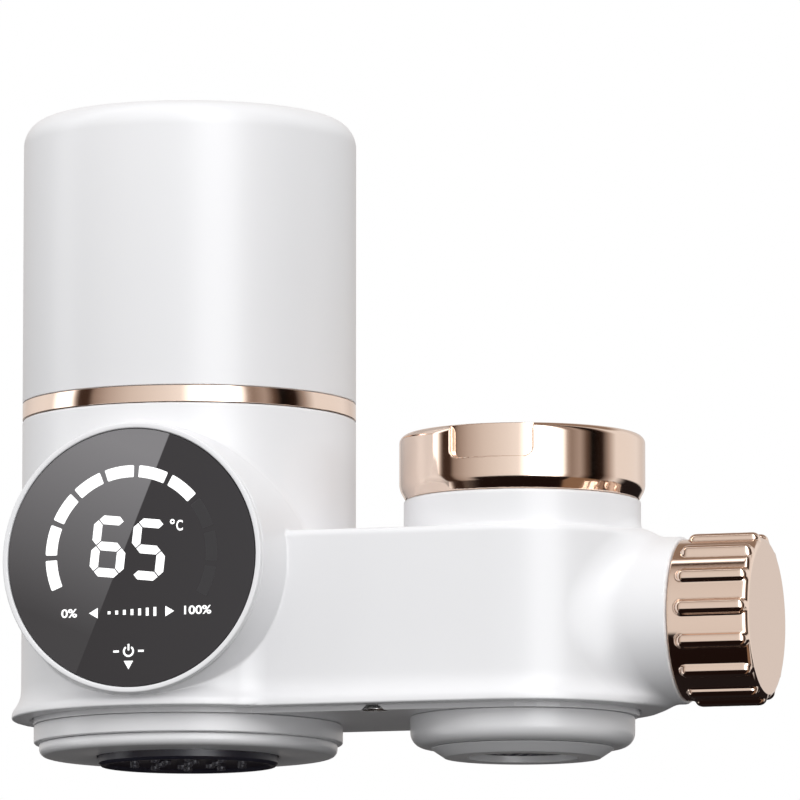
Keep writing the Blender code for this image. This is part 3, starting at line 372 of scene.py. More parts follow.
# Water body: the inner moulding in plain white plastic, with the inlet spigot on top, the diverter's barrel,
# the stream column below and the cross pipe to the bowl. The casing hides it apart from the spigot's mouth.
inner_plastic = surface("inner_white_plastic", (0.74, 0.74, 0.74), 0.42)
rubber = surface("sealing_rubber", (0.028, 0.028, 0.028), 0.62, tint=0.2, grain=4000.0, relief=0.15)
grey_plastic = surface("grey_cap_plastic", (0.30, 0.33, 0.37), 0.42)
steel = surface("stainless_steel", (0.60, 0.60, 0.60), 0.26, metallic=1.0, spread=0.12, relief=0.03)
turbine_plastic = surface("blue_turbine_plastic", (0.04, 0.12, 0.42), 0.35)


def refinish(material, *names):
    """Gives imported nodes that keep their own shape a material."""
    for name in names:
        nodes[name].data.materials.clear()
        nodes[name].data.materials.append(material)


refinish(inner_plastic, "valve_body")
refinish(rubber, "crossover_seal", "outlet_gasket", "adapter_seal")
refinish(rubber, "spool_seal_1", "spool_seal_2", "spool_seal_3")
refinish(grey_plastic, "turbine_carrier_inlet", "turbine_carrier_outlet", "diverter_spool", "spool_retainer")
refinish(steel, "turbine_axle", "spindle_clip")
refinish(turbine_plastic, "flow_turbine")

# Bottom cover: a flat white plate, snapped in under the arm and held by two countersunk steel screws
# with cross recesses.
SCREW_HEAD_R = 0.0026
SCREW_R = 0.0012
SCREW_TIP = 0.6
HEAD_EDGE = 0.0002
SLOT_L = 0.0019
SLOT_W = 0.0005
SLOT_DEEP = 0.0008
SLOT_OVER = 0.001
FLAT_ENOUGH = math.radians(150)
LONGEST_CUT = 0.48
CREASE = math.radians(32)


def fillet_points(corner, before, after, radius, steps):
    """Points of an arc that rounds a corner, no longer than half of the shorter side."""
    corner = Vector(corner)
    back = Vector(before) - corner
    ahead = Vector(after) - corner
    angle = back.angle(ahead, math.pi)
    if radius <= 0.0 or angle > FLAT_ENOUGH:
        return [tuple(corner)]
    cut = min(radius / math.tan(angle / 2), LONGEST_CUT * back.length, LONGEST_CUT * ahead.length)
    start = corner + back.normalized() * cut
    end = corner + ahead.normalized() * cut
    shares = [step / steps for step in range(steps + 1)]
    return [tuple(start.lerp(corner, share).lerp(corner.lerp(end, share), share)) for share in shares]


def rounded(outline, radius, steps, axis_stays=False):
    """A closed outline with its corners rounded. Those on a turned profile's axis can stay as they are."""
    count = len(outline)
    points = []
    for index, point in enumerate(outline):
        if axis_stays and point[0] == 0.0:
            points.append(point)
            continue
        points += fillet_points(point, outline[index - 1], outline[(index + 1) % count], radius, steps)
    return points


def creased(mesh):
    """The mesh shaded smooth, with its sharp edges kept."""
    mesh.shade_smooth()
    mesh.set_sharp_from_angle(angle=CREASE)
    return mesh


def turned(profile, axis, edge, steps, arc_steps=3):
    """Turns a closed (radius, height) profile round an axis, with its corners rounded."""
    turns = [2 * math.pi * step / steps for step in range(steps)]
    bm = bmesh.new()
    rings = []
    for radius, height in rounded(profile, edge, arc_steps, axis_stays=True):
        if radius == 0.0:
            rings.append([bm.verts.new((0.0, 0.0, height))] * steps)
        else:
            rings.append([bm.verts.new((radius * math.cos(a), radius * math.sin(a), height)) for a in turns])
    for upper, lower in zip(rings, rings[1:] + rings[:1]):
        if upper[0] is upper[1] and lower[0] is lower[1]:
            continue
        for step in range(steps):
            after = (step + 1) % steps
            corners = [upper[step], lower[step], lower[after], upper[after]]
            bm.faces.new(list(dict.fromkeys(corners)))
    bmesh.ops.recalc_face_normals(bm, faces=bm.faces)
    mesh = mesh_of(bm)
    mesh.transform(axis)
    return creased(mesh)


def plate(outline, low, high, at):
    """A flat outline made a thin closed plate between two heights along the axis's own Z."""
    bm = bmesh.new()
    face = bm.faces.new([bm.verts.new((x, y, low)) for x, y in outline])
    grown_face = bmesh.ops.extrude_face_region(bm, geom=[face])
    lifted = [item for item in grown_face["geom"] if isinstance(item, bmesh.types.BMVert)]
    bmesh.ops.translate(bm, verts=lifted, vec=(0.0, 0.0, high - low))
    bmesh.ops.recalc_face_normals(bm, faces=bm.faces)
    mesh = mesh_of(bm)
    mesh.transform(at)
    return mesh


def bar(x, y, width, height):
    """The outline of a bar about its middle."""
    left, right = x - width / 2, x + width / 2
    low, high = y - height / 2, y + height / 2
    return [(left, low), (right, low), (right, high), (left, high)]


def cut_by(mesh, cutter, material):
    """The mesh with the cutter's shape taken out of it."""
    blank = piece("blank", mesh, material)
    tool = piece("tool", cutter, material)
    tool.hide_render = True
    out = blank.modifiers.new("cut", "BOOLEAN")
    out.operation = "DIFFERENCE"
    out.object = tool
    made = evaluated_mesh(blank)
    bpy.data.objects.remove(tool)
    return creased(made)


refinish(white_shell, "bottom_cover")
for number in (1, 2):
    screw_low, screw_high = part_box(f"bottom_screw_{number}")
    screw_mid = (screw_low + screw_high) / 2
    screw_axis = Matrix.Translation((screw_mid.x, screw_mid.y, 0.0))
    profile = [
        (0.0, screw_high.z),
        (SCREW_R * SCREW_TIP, screw_high.z),
        (SCREW_R, screw_high.z - SCREW_R),
        (SCREW_R, screw_low.z + SCREW_HEAD_R - SCREW_R),
        (SCREW_HEAD_R, screw_low.z + HEAD_EDGE),
        (SCREW_HEAD_R - HEAD_EDGE, screw_low.z),
        (0.0, screw_low.z),
    ]
    screw_mesh = turned(profile, screw_axis, edge=0.0001, steps=48)
    for length, width in ((SLOT_L, SLOT_W), (SLOT_W, SLOT_L)):
        outline = bar(0.0, 0.0, length, width)
        slot = plate(outline, screw_low.z - SLOT_OVER, screw_low.z + SLOT_DEEP, screw_axis)
        screw_mesh = cut_by(screw_mesh, slot, steel)
    screw = piece(f"cover_screw_{number}", screw_mesh, steel)
    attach(screw, "root")
    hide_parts(f"bottom_screw_{number}")

# Filter bowl: a frosted grey pressure bowl, moulded in one piece, with a threaded collar that the cover
# screws on to. An O-ring lies in the collar's groove.
bowl_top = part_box("filter_bowl")[1].z
seal_low, seal_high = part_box("cover_seal")
COLLAR_R = radius_of("cover_seal")
COLLAR_FOOT = 0.0012
BOWL_WALL = 0.0028
BOWL_R = CUP_R - WALL - GAP
HAIR = 0.00001
GROOVE_DEEP = 0.0015
GROOVE_TALL = 0.0018
O_RING_SWELL = 1.03
THREAD_PITCH = 0.0011
THREAD_R = 0.00022
THREAD_CLEAR = 0.0004
HELIX_STEPS = 120
TUBE_SIDES = 6


def ended(tree, geometry, finish):
    """Ends a tree in real geometry of one material."""
    real = node(tree, "GeometryNodeRealizeInstances", {0: geometry})
    coat = node(tree, "GeometryNodeSetMaterial", {"Geometry": real.outputs[0], "Material": finish})
    node(tree, "NodeGroupOutput", {0: coat.outputs[0]})
    return tree


def swept(tree, curve, radius):
    """A round tube along a curve."""
    section = node(tree, "GeometryNodeCurvePrimitiveCircle", {"Resolution": TUBE_SIDES, "Radius": radius})
    values = {"Curve": curve, "Profile Curve": section.outputs[0], "Fill Caps": True}
    return node(tree, "GeometryNodeCurveToMesh", values).outputs[0]


def thread_tree():
    """Geometry nodes that draw a round ridge along a helix, for the crest of a moulded thread."""
    takes = {
        "Geometry": "Geometry",
        "Radius": "Float",
        "Turns": "Float",
        "Height": "Float",
        "Ridge": "Float",
        "Finish": "Material",
    }
    tree, given = node_group("helical_ridge", "GeometryNodeTree", takes, {"Geometry": "Geometry"})
    values = {
        "Resolution": HELIX_STEPS,
        "Rotations": given["Turns"],
        "Start Radius": given["Radius"],
        "End Radius": given["Radius"],
        "Height": given["Height"],
    }
    helix = node(tree, "GeometryNodeCurveSpiral", values)
    return ended(tree, swept(tree, helix.outputs[0], given["Ridge"]), given["Finish"])


def grown(mesh, material, tree, values):
    """The plain mesh that a geometry tree makes of a mesh with these inputs."""
    shape = piece("grown", mesh, material)
    modifier = shape.modifiers.new("grown", "NODES")
    modifier.node_group = tree
    for item in tree.interface.items_tree:
        if item.in_out == "INPUT" and item.name in values:
            modifier[item.identifier] = values[item.name]
    return evaluated_mesh(shape)


helical_ridge = thread_tree()


def thread(radius, low, high, pitch, ridge, material, axis):
    """The ridge of a thread between two heights."""
    values = {
        "Radius": radius,
        "Turns": (high - low) / pitch,
        "Height": high - low,
        "Ridge": ridge,
        "Finish": material,
    }
    made = grown(bpy.data.meshes.new("thread"), material, helical_ridge, values)
    made.transform(axis @ Matrix.Translation((0.0, 0.0, low)))
    made.shade_smooth()
    return made


bowl_plastic = surface("frosted_bowl_plastic", (0.52, 0.56, 0.60), 0.38, tint=0.05)
refinish(bowl_plastic, "filter_bowl")
seal_mid = (seal_low.z + seal_high.z) / 2
groove_top = seal_mid + GROOVE_TALL / 2
groove_foot = groove_top - GROOVE_TALL
bowl_in_r = BOWL_R - BOWL_WALL - 4 * HAIR
collar_foot = ring_high.z - COLLAR_FOOT
profile = [
    (bowl_in_r, bowl_top + 2 * HAIR),
    (COLLAR_R + HAIR, bowl_top + 2 * HAIR),
    (COLLAR_R + HAIR, groove_top),
    (COLLAR_R - GROOVE_DEEP, groove_top),
    (COLLAR_R - GROOVE_DEEP, groove_foot),
    (COLLAR_R + HAIR, groove_foot),
    (COLLAR_R + HAIR, collar_foot),
    (bowl_in_r, collar_foot),
]
bowl_collar = piece("bowl_collar", turned(profile, filter_axis, edge=0.0002, steps=160), bowl_plastic)
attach(bowl_collar, "root")
thread_foot = ring_high.z + THREAD_CLEAR
thread_top = groove_foot - THREAD_CLEAR
thread_mesh = thread(
    COLLAR_R - 2 * HAIR, thread_foot, thread_top, THREAD_PITCH, THREAD_R, bowl_plastic, filter_axis
)
bowl_thread = piece("bowl_thread", thread_mesh, bowl_plastic)
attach(bowl_thread, "root")
o_ring_r = (seal_high.z - seal_low.z) / 2 * O_RING_SWELL
turns = [math.radians(degrees) for degrees in range(0, 360, 30)]
profile = [(COLLAR_R - o_ring_r + o_ring_r * math.cos(a), seal_mid - o_ring_r * math.sin(a)) for a in turns]
cover_o_ring = piece("cover_o_ring", turned(profile, filter_axis, edge=0.0, steps=160), rubber)
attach(cover_o_ring, "root")
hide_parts("cover_seal")

# Cartridge: a pressed carbon block in a melt-blown sediment sleeve between two grey end caps.
# It stands on its sealed spigot in the bowl's socket and is lifted out when the cover is off.
sleeve_low, sleeve_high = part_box("sediment_sleeve")
cap_low, cap_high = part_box("cartridge_cap")
SLEEVE_R = radius_of("sediment_sleeve")
SLEEVE_WALL = 0.0032
CARTRIDGE_R = radius_of("cartridge_cap")
CAP_KNOB_R = 0.0080
CAP_KNOB_DRAFT = 0.0006


def plain_section(inner, outer, low, high):
    """The profile of a plain ring, or of a disc where its inner radius is 0."""
    return [(inner, high), (outer, high), (outer, low), (inner, low)]


felt = surface("sediment_felt", (0.78, 0.78, 0.75), 0.9, tint=0.12, grain=1800.0, patch=260.0, relief=0.9)
carbon = surface("pressed_carbon", (0.018, 0.018, 0.018), 0.85, tint=0.6, grain=1500.0, relief=0.6)
refinish(carbon, "carbon_block")
refinish(grey_plastic, "cartridge_base")
refinish(rubber, "spigot_seal_1", "spigot_seal_2")
profile = plain_section(SLEEVE_R - SLEEVE_WALL, SLEEVE_R, sleeve_low.z, sleeve_high.z)
sleeve = piece("felt_sleeve", turned(profile, filter_axis, edge=0.0003, steps=128), felt)
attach(sleeve, "root")
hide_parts("sediment_sleeve")
cap_step = cap_high.z - (cap_high.z - cap_low.z) / 3
profile = [
    (0.0, cap_high.z),
    (CAP_KNOB_R, cap_high.z),
    (CAP_KNOB_R + CAP_KNOB_DRAFT, cap_step),
    (CARTRIDGE_R, cap_step),
    (CARTRIDGE_R, cap_low.z),
    (0.0, cap_low.z),
]
cap = piece("cartridge_top_cap", turned(profile, filter_axis, edge=0.0004, steps=128), grey_plastic)
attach(cap, "root")
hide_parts("cartridge_cap")

# Trim ring: a plated rose gold band that turns with the cover, between it and the base cup.
# It is turned from the base cup's own radius, so that the three lie flush.
ROSE_GOLD_COLOUR = (0.86, 0.69, 0.58)
rose_gold = surface(
    "rose_gold_plating", ROSE_GOLD_COLOUR, 0.085, metallic=1.0, tint=0.02, spread=0.02, relief=0.0
)
profile = plain_section(CUP_R - WALL, CUP_R, ring_low.z, ring_high.z + GAP - 2 * SEAM)
band = piece("rose_gold_band", turned(profile, filter_axis, edge=0.00015, steps=256), rose_gold)
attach(band, "trim")
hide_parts("trim_ring")

# Filter cover: the tall white cap, moulded with a rounded top edge, that unscrews from the bowl
# and lifts off over the cartridge.
cover_low, cover_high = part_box("filter_cover")
COVER_WALL = 0.0028
COVER_ROUND = 0.0055
COVER_IN_R = CUP_R - COVER_WALL
COVER_IN_ROUND = COVER_ROUND - COVER_WALL / 2


def arc(centre, radius, start, end, steps):
    """Points along an arc between two angles in degrees."""
    turns = [math.radians(start + (end - start) * step / steps) for step in range(steps + 1)]
    return [(centre[0] + radius * math.cos(turn), centre[1] + radius * math.sin(turn)) for turn in turns]


ceiling = cover_high.z - COVER_WALL
outer_corner = (CUP_R - COVER_ROUND, cover_high.z - COVER_ROUND)
inner_corner = (COVER_IN_R - COVER_IN_ROUND, ceiling - COVER_IN_ROUND)
profile = [(0.0, cover_high.z)]
profile += arc(outer_corner, COVER_ROUND, 90, 0, steps=14)
profile += [(CUP_R, cover_low.z), (COVER_IN_R, cover_low.z)]
profile += arc(inner_corner, COVER_IN_ROUND, 0, 90, steps=8)
profile += [(0.0, ceiling)]
cover = piece("filter_cap", turned(profile, filter_axis, edge=0.0003, steps=256), white_shell)
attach(cover, "cover")
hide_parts("filter_cover")

# Filter outlet: a stepped white collar screwed on the bowl's tail, and a ring that holds the dark spray
# plate with its small raised nozzles against a gasket.
collar_low, collar_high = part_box("outlet_collar")
hold_low, hold_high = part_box("outlet_ring")
spray_low, spray_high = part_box("spray_plate")
COLLAR_OUT_R = radius_of("outlet_collar")
COLLAR_HUB_R = 0.0235
COLLAR_WEB = 0.0022
TAIL_R = 0.0108
HOLD_R = radius_of("outlet_ring")
HOLD_ROUND = 0.0015
GASKET_H = 0.0017
SPRAY_R = 0.0183
SPRAY_FLANGE_R = radius_of("spray_plate")
SPRAY_WALL = 0.0025
SPRAY_FLOOR = 0.0014
SPRAY_RIM = 0.0014
SPRAY_RIM_EDGE = 0.0006
SPRAY_HOLE_R = 0.0007
SPRAY_RINGS = ((0.0, 1), (0.0060, 6), (0.0115, 10))
DRILL_LOW = -0.002
DRILL_HIGH = 0.006
NUB_R = 0.0011
NUB_H = 0.0007
NUB_ROOT = 0.0004
NUB_TAPER = 0.8


def copies_tree():
    """Geometry nodes that set copies of a shape out round the Z axis, a step apart."""
    takes = {
        "Geometry": "Geometry",
        "Count": "Int",
        "Step": "Float",
        "Start": "Float",
        "Radius": "Float",
        "Finish": "Material",
    }
    tree, given = node_group("copies_round_an_axis", "GeometryNodeTree", takes, {"Geometry": "Geometry"})
    index = node(tree, "GeometryNodeInputIndex").outputs[0]
    turn = maths(tree, "MULTIPLY_ADD", index, given["Step"], given["Start"])
    x = maths(tree, "MULTIPLY", maths(tree, "COSINE", turn), given["Radius"])
    y = maths(tree, "MULTIPLY", maths(tree, "SINE", turn), given["Radius"])
    spot = node(tree, "ShaderNodeCombineXYZ", {"X": x, "Y": y})
    facing = node(tree, "ShaderNodeCombineXYZ", {"Z": turn})
    points = node(tree, "GeometryNodePoints", {"Count": given["Count"], "Position": spot.outputs[0]})
    values = {"Points": points.outputs[0], "Instance": given["Geometry"], "Rotation": facing.outputs[0]}
    laid = node(tree, "GeometryNodeInstanceOnPoints", values)
    return ended(tree, laid.outputs[0], given["Finish"])


copies_round = copies_tree()


def copies(mesh, count, step, start, radius, material, at):
    """A mesh of copies of a small mesh round an axis."""
    values = {"Count": count, "Step": step, "Start": start, "Radius": radius, "Finish": material}
    made = grown(mesh, material, copies_round, values)
    made.transform(at)
    return made


refinish(rubber, "spray_gasket")
collar_step = hold_high.z + SEAM
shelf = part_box("bottom_cover")[0].z - SEAM
profile = [
    (TAIL_R + GAP, collar_high.z),
    (COLLAR_HUB_R, collar_high.z),
    (COLLAR_HUB_R, shelf),
    (COLLAR_OUT_R, shelf),
    (COLLAR_OUT_R, collar_step),
    (SPRAY_FLANGE_R + GAP, collar_step),
    (SPRAY_FLANGE_R + GAP, spray_high.z + GASKET_H),
    (SPRAY_R - 3 * GAP, spray_high.z + GASKET_H),
    (SPRAY_R - 3 * GAP, collar_high.z - COLLAR_WEB),
    (TAIL_R + GAP, collar_high.z - COLLAR_WEB),
]
collar = piece("filter_outlet_collar", turned(profile, filter_axis, edge=0.0005, steps=224), white_shell)
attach(collar, "root")
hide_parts("outlet_collar")
corner = (HOLD_R - HOLD_ROUND, hold_low.z + HOLD_ROUND)
profile = [(SPRAY_R + GAP, hold_high.z), (HOLD_R, hold_high.z)]
profile += arc(corner, HOLD_ROUND, 0, -90, steps=8) + [(SPRAY_R + GAP, hold_low.z)]
hold = piece("filter_outlet_ring", turned(profile, filter_axis, edge=0.0003, steps=224), white_shell)
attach(hold, "root")
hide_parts("outlet_ring")
dark_plastic = surface("dark_nozzle_plastic", (0.022, 0.022, 0.036), 0.34, tint=0.1)
floor_z = spray_low.z + NUB_H
profile = [
    (0.0, floor_z + SPRAY_FLOOR),
    (SPRAY_R - SPRAY_WALL, floor_z + SPRAY_FLOOR),
    (SPRAY_R - SPRAY_WALL, spray_high.z),
    (SPRAY_FLANGE_R, spray_high.z),
    (SPRAY_FLANGE_R, collar_low.z),
    (SPRAY_R, collar_low.z),
    (SPRAY_R, spray_low.z + SPRAY_RIM_EDGE),
    (SPRAY_R - SPRAY_RIM_EDGE, spray_low.z),
    (SPRAY_R - SPRAY_RIM, spray_low.z),
    (SPRAY_R - SPRAY_RIM - SPRAY_RIM_EDGE, floor_z),
    (0.0, floor_z),
]
spray_mesh = turned(profile, filter_axis, edge=0.0001, steps=128)
nub_profile = [
    (SPRAY_HOLE_R, floor_z + NUB_ROOT),
    (NUB_R, floor_z + NUB_ROOT),
    (NUB_R * NUB_TAPER, spray_low.z),
    (SPRAY_HOLE_R, spray_low.z),
]
drill_profile = plain_section(0.0, SPRAY_HOLE_R, DRILL_LOW, DRILL_HIGH)
for number, (ring_radius, count) in enumerate(SPRAY_RINGS, start=1):
    turn = 2 * math.pi / count
    drill = turned(drill_profile, Matrix.Identity(4), edge=0.0, steps=20)
    holes = copies(drill, count, turn, 0.0, ring_radius, dark_plastic, filter_axis)
    spray_mesh = cut_by(spray_mesh, holes, dark_plastic)
    nub = turned(nub_profile, Matrix.Identity(4), edge=0.0001, steps=20, arc_steps=2)
    nub.shade_smooth()
    nubs_mesh = copies(nub, count, turn, 0.0, ring_radius, dark_plastic, filter_axis)
    nubs = piece(f"spray_nubs_{number}", nubs_mesh, dark_plastic)
    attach(nubs, "root")
spray = piece("spray_disc", spray_mesh, dark_plastic)
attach(spray, "root")
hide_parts("spray_plate")

# Stream outlet: a rounded white ring under the tap housing, and in it the cone nozzle with the aerator's
# dark honeycomb insert and its washer.
stream_low, stream_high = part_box("stream_ring")
insert_low, insert_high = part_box("aerator_insert")
nozzle_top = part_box("stream_nozzle")[1].z
STREAM_R = radius_of("stream_ring")
STREAM_ROUND = 0.0030
HUB_R = 0.0157
NOZZLE_R = 0.0142
NOZZLE_WEB = 0.0020
CONE_TOP_R = radius_of("stream_nozzle")
CONE_FOOT_R = 0.0157
INSERT_R = radius_of("aerator_insert")
COLUMN_BORE_R = 0.0090
HONEYCOMB_R = 0.0009
HONEYCOMB_STEP = HONEYCOMB_R * 2.35
HONEYCOMB_RINGS = 5
refinish(rubber, "aerator_washer")
corner = (STREAM_R - STREAM_ROUND, stream_low.z + STREAM_ROUND)
profile = [
    (NOZZLE_R + GAP, stream_high.z),
    (HUB_R, stream_high.z),
    (HUB_R, shelf),
    (STREAM_R, shelf),
]
profile += arc(corner, STREAM_ROUND, 0, -90, steps=10) + [(NOZZLE_R + GAP, stream_low.z)]
stream = piece("stream_outlet_ring", turned(profile, tap_axis, edge=0.0003, steps=224), white_shell)
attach(stream, "root")
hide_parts("stream_ring")
profile = [
    (COLUMN_BORE_R, nozzle_top),
    (NOZZLE_R, nozzle_top),
    (NOZZLE_R, stream_low.z - SEAM),
    (CONE_TOP_R, stream_low.z - SEAM),
    (CONE_FOOT_R, 0.0),
    (INSERT_R + GAP, 0.0),
    (INSERT_R + GAP, nozzle_top - NOZZLE_WEB),
    (COLUMN_BORE_R, nozzle_top - NOZZLE_WEB),
]
nozzle = piece("stream_cone", turned(profile, tap_axis, edge=0.0003, steps=224), white_shell)
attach(nozzle, "root")
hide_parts("stream_nozzle")
profile = plain_section(0.0, INSERT_R, insert_low.z, insert_high.z)
comb_mesh = turned(profile, tap_axis, edge=0.0002, steps=96)
drill_profile = plain_section(0.0, HONEYCOMB_R, 2 * DRILL_LOW, 2 * DRILL_HIGH)
for number in range(HONEYCOMB_RINGS):
    count = max(1, 6 * number)
    drill = turned(drill_profile, Matrix.Identity(4), edge=0.0, steps=6)
    holes = copies(drill, count, 2 * math.pi / count, 0.0, number * HONEYCOMB_STEP, dark_plastic, tap_axis)
    comb_mesh = cut_by(comb_mesh, holes, dark_plastic)
comb = piece("aerator_comb", comb_mesh, dark_plastic)
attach(comb, "root")
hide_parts("aerator_insert")

# Display electronics: a light mask over a small board with its button cell and clip, and a steel
# temperature probe through the cup's wall.
black_plastic = surface("light_mask_black", (0.015, 0.015, 0.015), 0.6)
board = surface("solder_mask_green", (0.02, 0.13, 0.06), 0.4, tint=0.3, patch=900.0)
refinish(black_plastic, "light_mask")
refinish(board, "circuit_board")
refinish(steel, "button_cell", "cell_clip", "temperature_probe")

# Display: a round smoked window with a painted reflection on its upper left, in a slim white bezel.
# The lit signs are thin white plates flush on it: a gauge of ten arcs, a two-digit temperature,
# the scale under it and the touch key's marks.
lens_low, lens_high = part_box("display_lens")
LENS_R = radius_of("display_lens") + GAP - 2 * SEAM
LENS_FRONT = AXIS_Y - lens_low.y
LENS_BACK = AXIS_Y - lens_high.y
BEZEL_FRONT = AXIS_Y - bezel_low.y - SEAM
BEZEL_LIP = 0.0011
SIGN_LOW = LENS_FRONT - 0.00010
SIGN_TOP = LENS_FRONT + 0.00003
GAUGE_IN = 0.0156
GAUGE_OUT = 0.0180
GAUGE_RISE = 0.0005
GAUGE_ROUND = 0.0004
GAUGE_STEP = math.radians(-23.5)
GAUGE_START = math.radians(192.3)
GAUGE_SWEEP = math.radians(20)
GAUGE_LIT = 7
GAUGE_FAINT = 3
DIGIT_H = 0.0123
DIGIT_W = 0.0072
DIGIT_STROKE = 0.00178
DIGIT_GAP = 0.00016
DIGIT_TURN = math.radians(-6.3)
TENS_AT = (-0.0047, 0.0023)
UNITS_AT = (0.0036, 0.00145)
TYPE_BOLD = 0.028
TYPE_CAPS = 0.72
DEGREE_AT = (0.0086, 0.0069)
UNIT_AT = (0.0101, 0.0060)
PERCENT_H = 0.00170
PERCENT_WIDE = 1.20
SCALE_ROW = -0.0110
SCALE_STEP = 0.0016
SCALE_BAR_W = 0.0006
SCALE_BAR_H = 0.0012
SCALE_BAR_GROWS = 0.0002
KEY_AT = (-0.0005, -0.0188)
KEY_DASH = 0.0012
# Painted reflection on the window: its slanting edge, its fade and its shades, and the glass's own dark tone
# past the edge.
SHEEN_EDGE = Vector((0.0081, 0.0250))
SHEEN_ANGLE = math.radians(22.3)
SHEEN_SOFT = 0.0001
SHEEN_FADE_LOW = -0.0440
SHEEN_FADE_HIGH = -0.0060
WINDOW_SHEEN_LIGHT = (0.205, 0.200, 0.208)
WINDOW_SHEEN_FADED = (0.040, 0.038, 0.041)
WINDOW_DARK_TONE = (0.020, 0.018, 0.021)
profile = plain_section(BEZEL_R - BEZEL_LIP, BEZEL_R, DRUM_FRONT + SEAM, BEZEL_FRONT)
bezel = piece("bezel_ring", turned(profile, display_axis, edge=0.00035, steps=256, arc_steps=4), white_shell)
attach(bezel, "root")
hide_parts("display_bezel")


def window_material():
    """Smoked glass, with a painted reflection on the upper left of a straight slanting edge."""
    made = surface("smoked_window", (0.03, 0.03, 0.032), 0.07, tint=0.0, spread=0.01, relief=0.0)
    tree = made.node_tree
    edge = {
        "Vector": node(tree, "ShaderNodeTexCoord").outputs["Object"],
        "Location": (FILTER_X + SHEEN_EDGE.x, 0.0, DISPLAY_Z + SHEEN_EDGE.y),
        "Rotation": (0.0, SHEEN_ANGLE, 0.0),
    }
    place = node(tree, "ShaderNodeMapping", edge, vector_type="TEXTURE")
    apart = node(tree, "ShaderNodeSeparateXYZ", {"Vector": place.outputs["Vector"]}).outputs
    across = {"Value": apart["X"], "From Min": -SHEEN_SOFT, "From Max": SHEEN_SOFT}
    side = node(tree, "ShaderNodeMapRange", across)
    along = {"Value": apart["Z"], "From Min": SHEEN_FADE_LOW, "From Max": SHEEN_FADE_HIGH}
    fade = node(tree, "ShaderNodeMapRange", along)
    # Painted reflection: the sheen grows lighter towards the top, and past the edge the glass keeps its dark
    # tone.
    tones = {"Factor": fade.outputs["Result"], "A": (*WINDOW_SHEEN_FADED, 1.0), "B": (*WINDOW_SHEEN_LIGHT, 1.0)}
    painted_sheen = node(tree, "ShaderNodeMix", tones, data_type="RGBA")
    tones = {"Factor": side.outputs["Result"], "A": painted_sheen.outputs["Result"], "B": (*WINDOW_DARK_TONE, 1.0)}
    painted_reflection_tone = node(tree, "ShaderNodeMix", tones, data_type="RGBA")
    tree.links.new(painted_reflection_tone.outputs["Result"], tree.nodes["Principled BSDF"].inputs["Base Color"])
    return made


profile = plain_section(0.0, LENS_R, LENS_BACK, LENS_FRONT)
window = piece("display_window", turned(profile, display_axis, edge=0.0002, steps=256), window_material())
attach(window, "root")
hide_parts("display_lens")


def lit_material(name, colour, strength):
    """A sign that glows a little."""
    made = surface(name, colour, 0.35, tint=0.0, relief=0.0)
    shader = made.node_tree.nodes["Principled BSDF"].inputs
    shader["Emission Color"].default_value = (*colour, 1.0)
    shader["Emission Strength"].default_value = strength
    return made


lit = lit_material("lit_sign", (0.92, 0.92, 0.92), 0.55)
faint = lit_material("faint_sign", (0.026, 0.025, 0.028), 0.0)


def sign_plate(outline, at=display_axis):
    """A thin plate flush on the window."""
    return plate(outline, SIGN_LOW, SIGN_TOP, at)


def sign(name, meshes, material):
    """One shown piece of several flat signs."""
    bm = bmesh.new()
    for mesh in meshes:
        bm.from_mesh(mesh)
    made = piece(name, mesh_of(bm), material)
    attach(made, "root")


half_sweep = math.degrees(GAUGE_SWEEP) / 2
arc_outline = arc((0.0, 0.0), GAUGE_OUT, -half_sweep, half_sweep, steps=10)
arc_outline += arc((0.0, 0.0), GAUGE_IN, half_sweep, -half_sweep, steps=10)
arc_outline = rounded(arc_outline, GAUGE_ROUND, steps=4)
gauge_axis = display_axis @ Matrix.Translation((0.0, GAUGE_RISE, 0.0))
for name, count, skipped, material in (
    ("gauge_lit", GAUGE_LIT, 0, lit),
    ("gauge_faint", GAUGE_FAINT, GAUGE_LIT, faint),
):
    arc_plate = sign_plate(arc_outline, Matrix.Identity(4))
    start = GAUGE_START + GAUGE_STEP * skipped
    sign(name, [copies(arc_plate, count, GAUGE_STEP, start, 0.0, material, gauge_axis)], material)


def pointed_bar(start, end, width):
    """The outline of a bar with pointed ends between two points."""
    along = (end - start).normalized()
    side = Vector((-along.y, along.x)) * width / 2
    tip = along * width / 2
    points = [start, start + tip + side, end - tip + side, end, end - tip - side, start + tip - side]
    return [tuple(point) for point in points]


def digit(shown, x, y):
    """The bars of one seven-bar digit about its middle, turned a little."""
    right = (DIGIT_W - DIGIT_STROKE) / 2
    high = (DIGIT_H - DIGIT_STROKE) / 2
    at = display_axis @ Matrix.Translation((x, y, 0.0)) @ Matrix.Rotation(DIGIT_TURN, 4, "Z")
    ends = {
        "top": ((-right, high), (right, high)),
        "middle": ((-right, 0.0), (right, 0.0)),
        "bottom": ((-right, -high), (right, -high)),
        "upper_left": ((-right, 0.0), (-right, high)),
        "lower_left": ((-right, -high), (-right, 0.0)),
        "lower_right": ((right, -high), (right, 0.0)),
    }
    bars = []
    for name in shown:
        start, end = (Vector(point) for point in ends[name])
        pull = (end - start).normalized() * DIGIT_GAP
        bars.append(sign_plate(pointed_bar(start + pull, end - pull, DIGIT_STROKE), at))
    return bars


six = ("top", "upper_left", "middle", "lower_left", "lower_right", "bottom")
five = ("top", "upper_left", "middle", "lower_right", "bottom")
sign("digits_lit", digit(six, *TENS_AT) + digit(five, *UNITS_AT), lit)


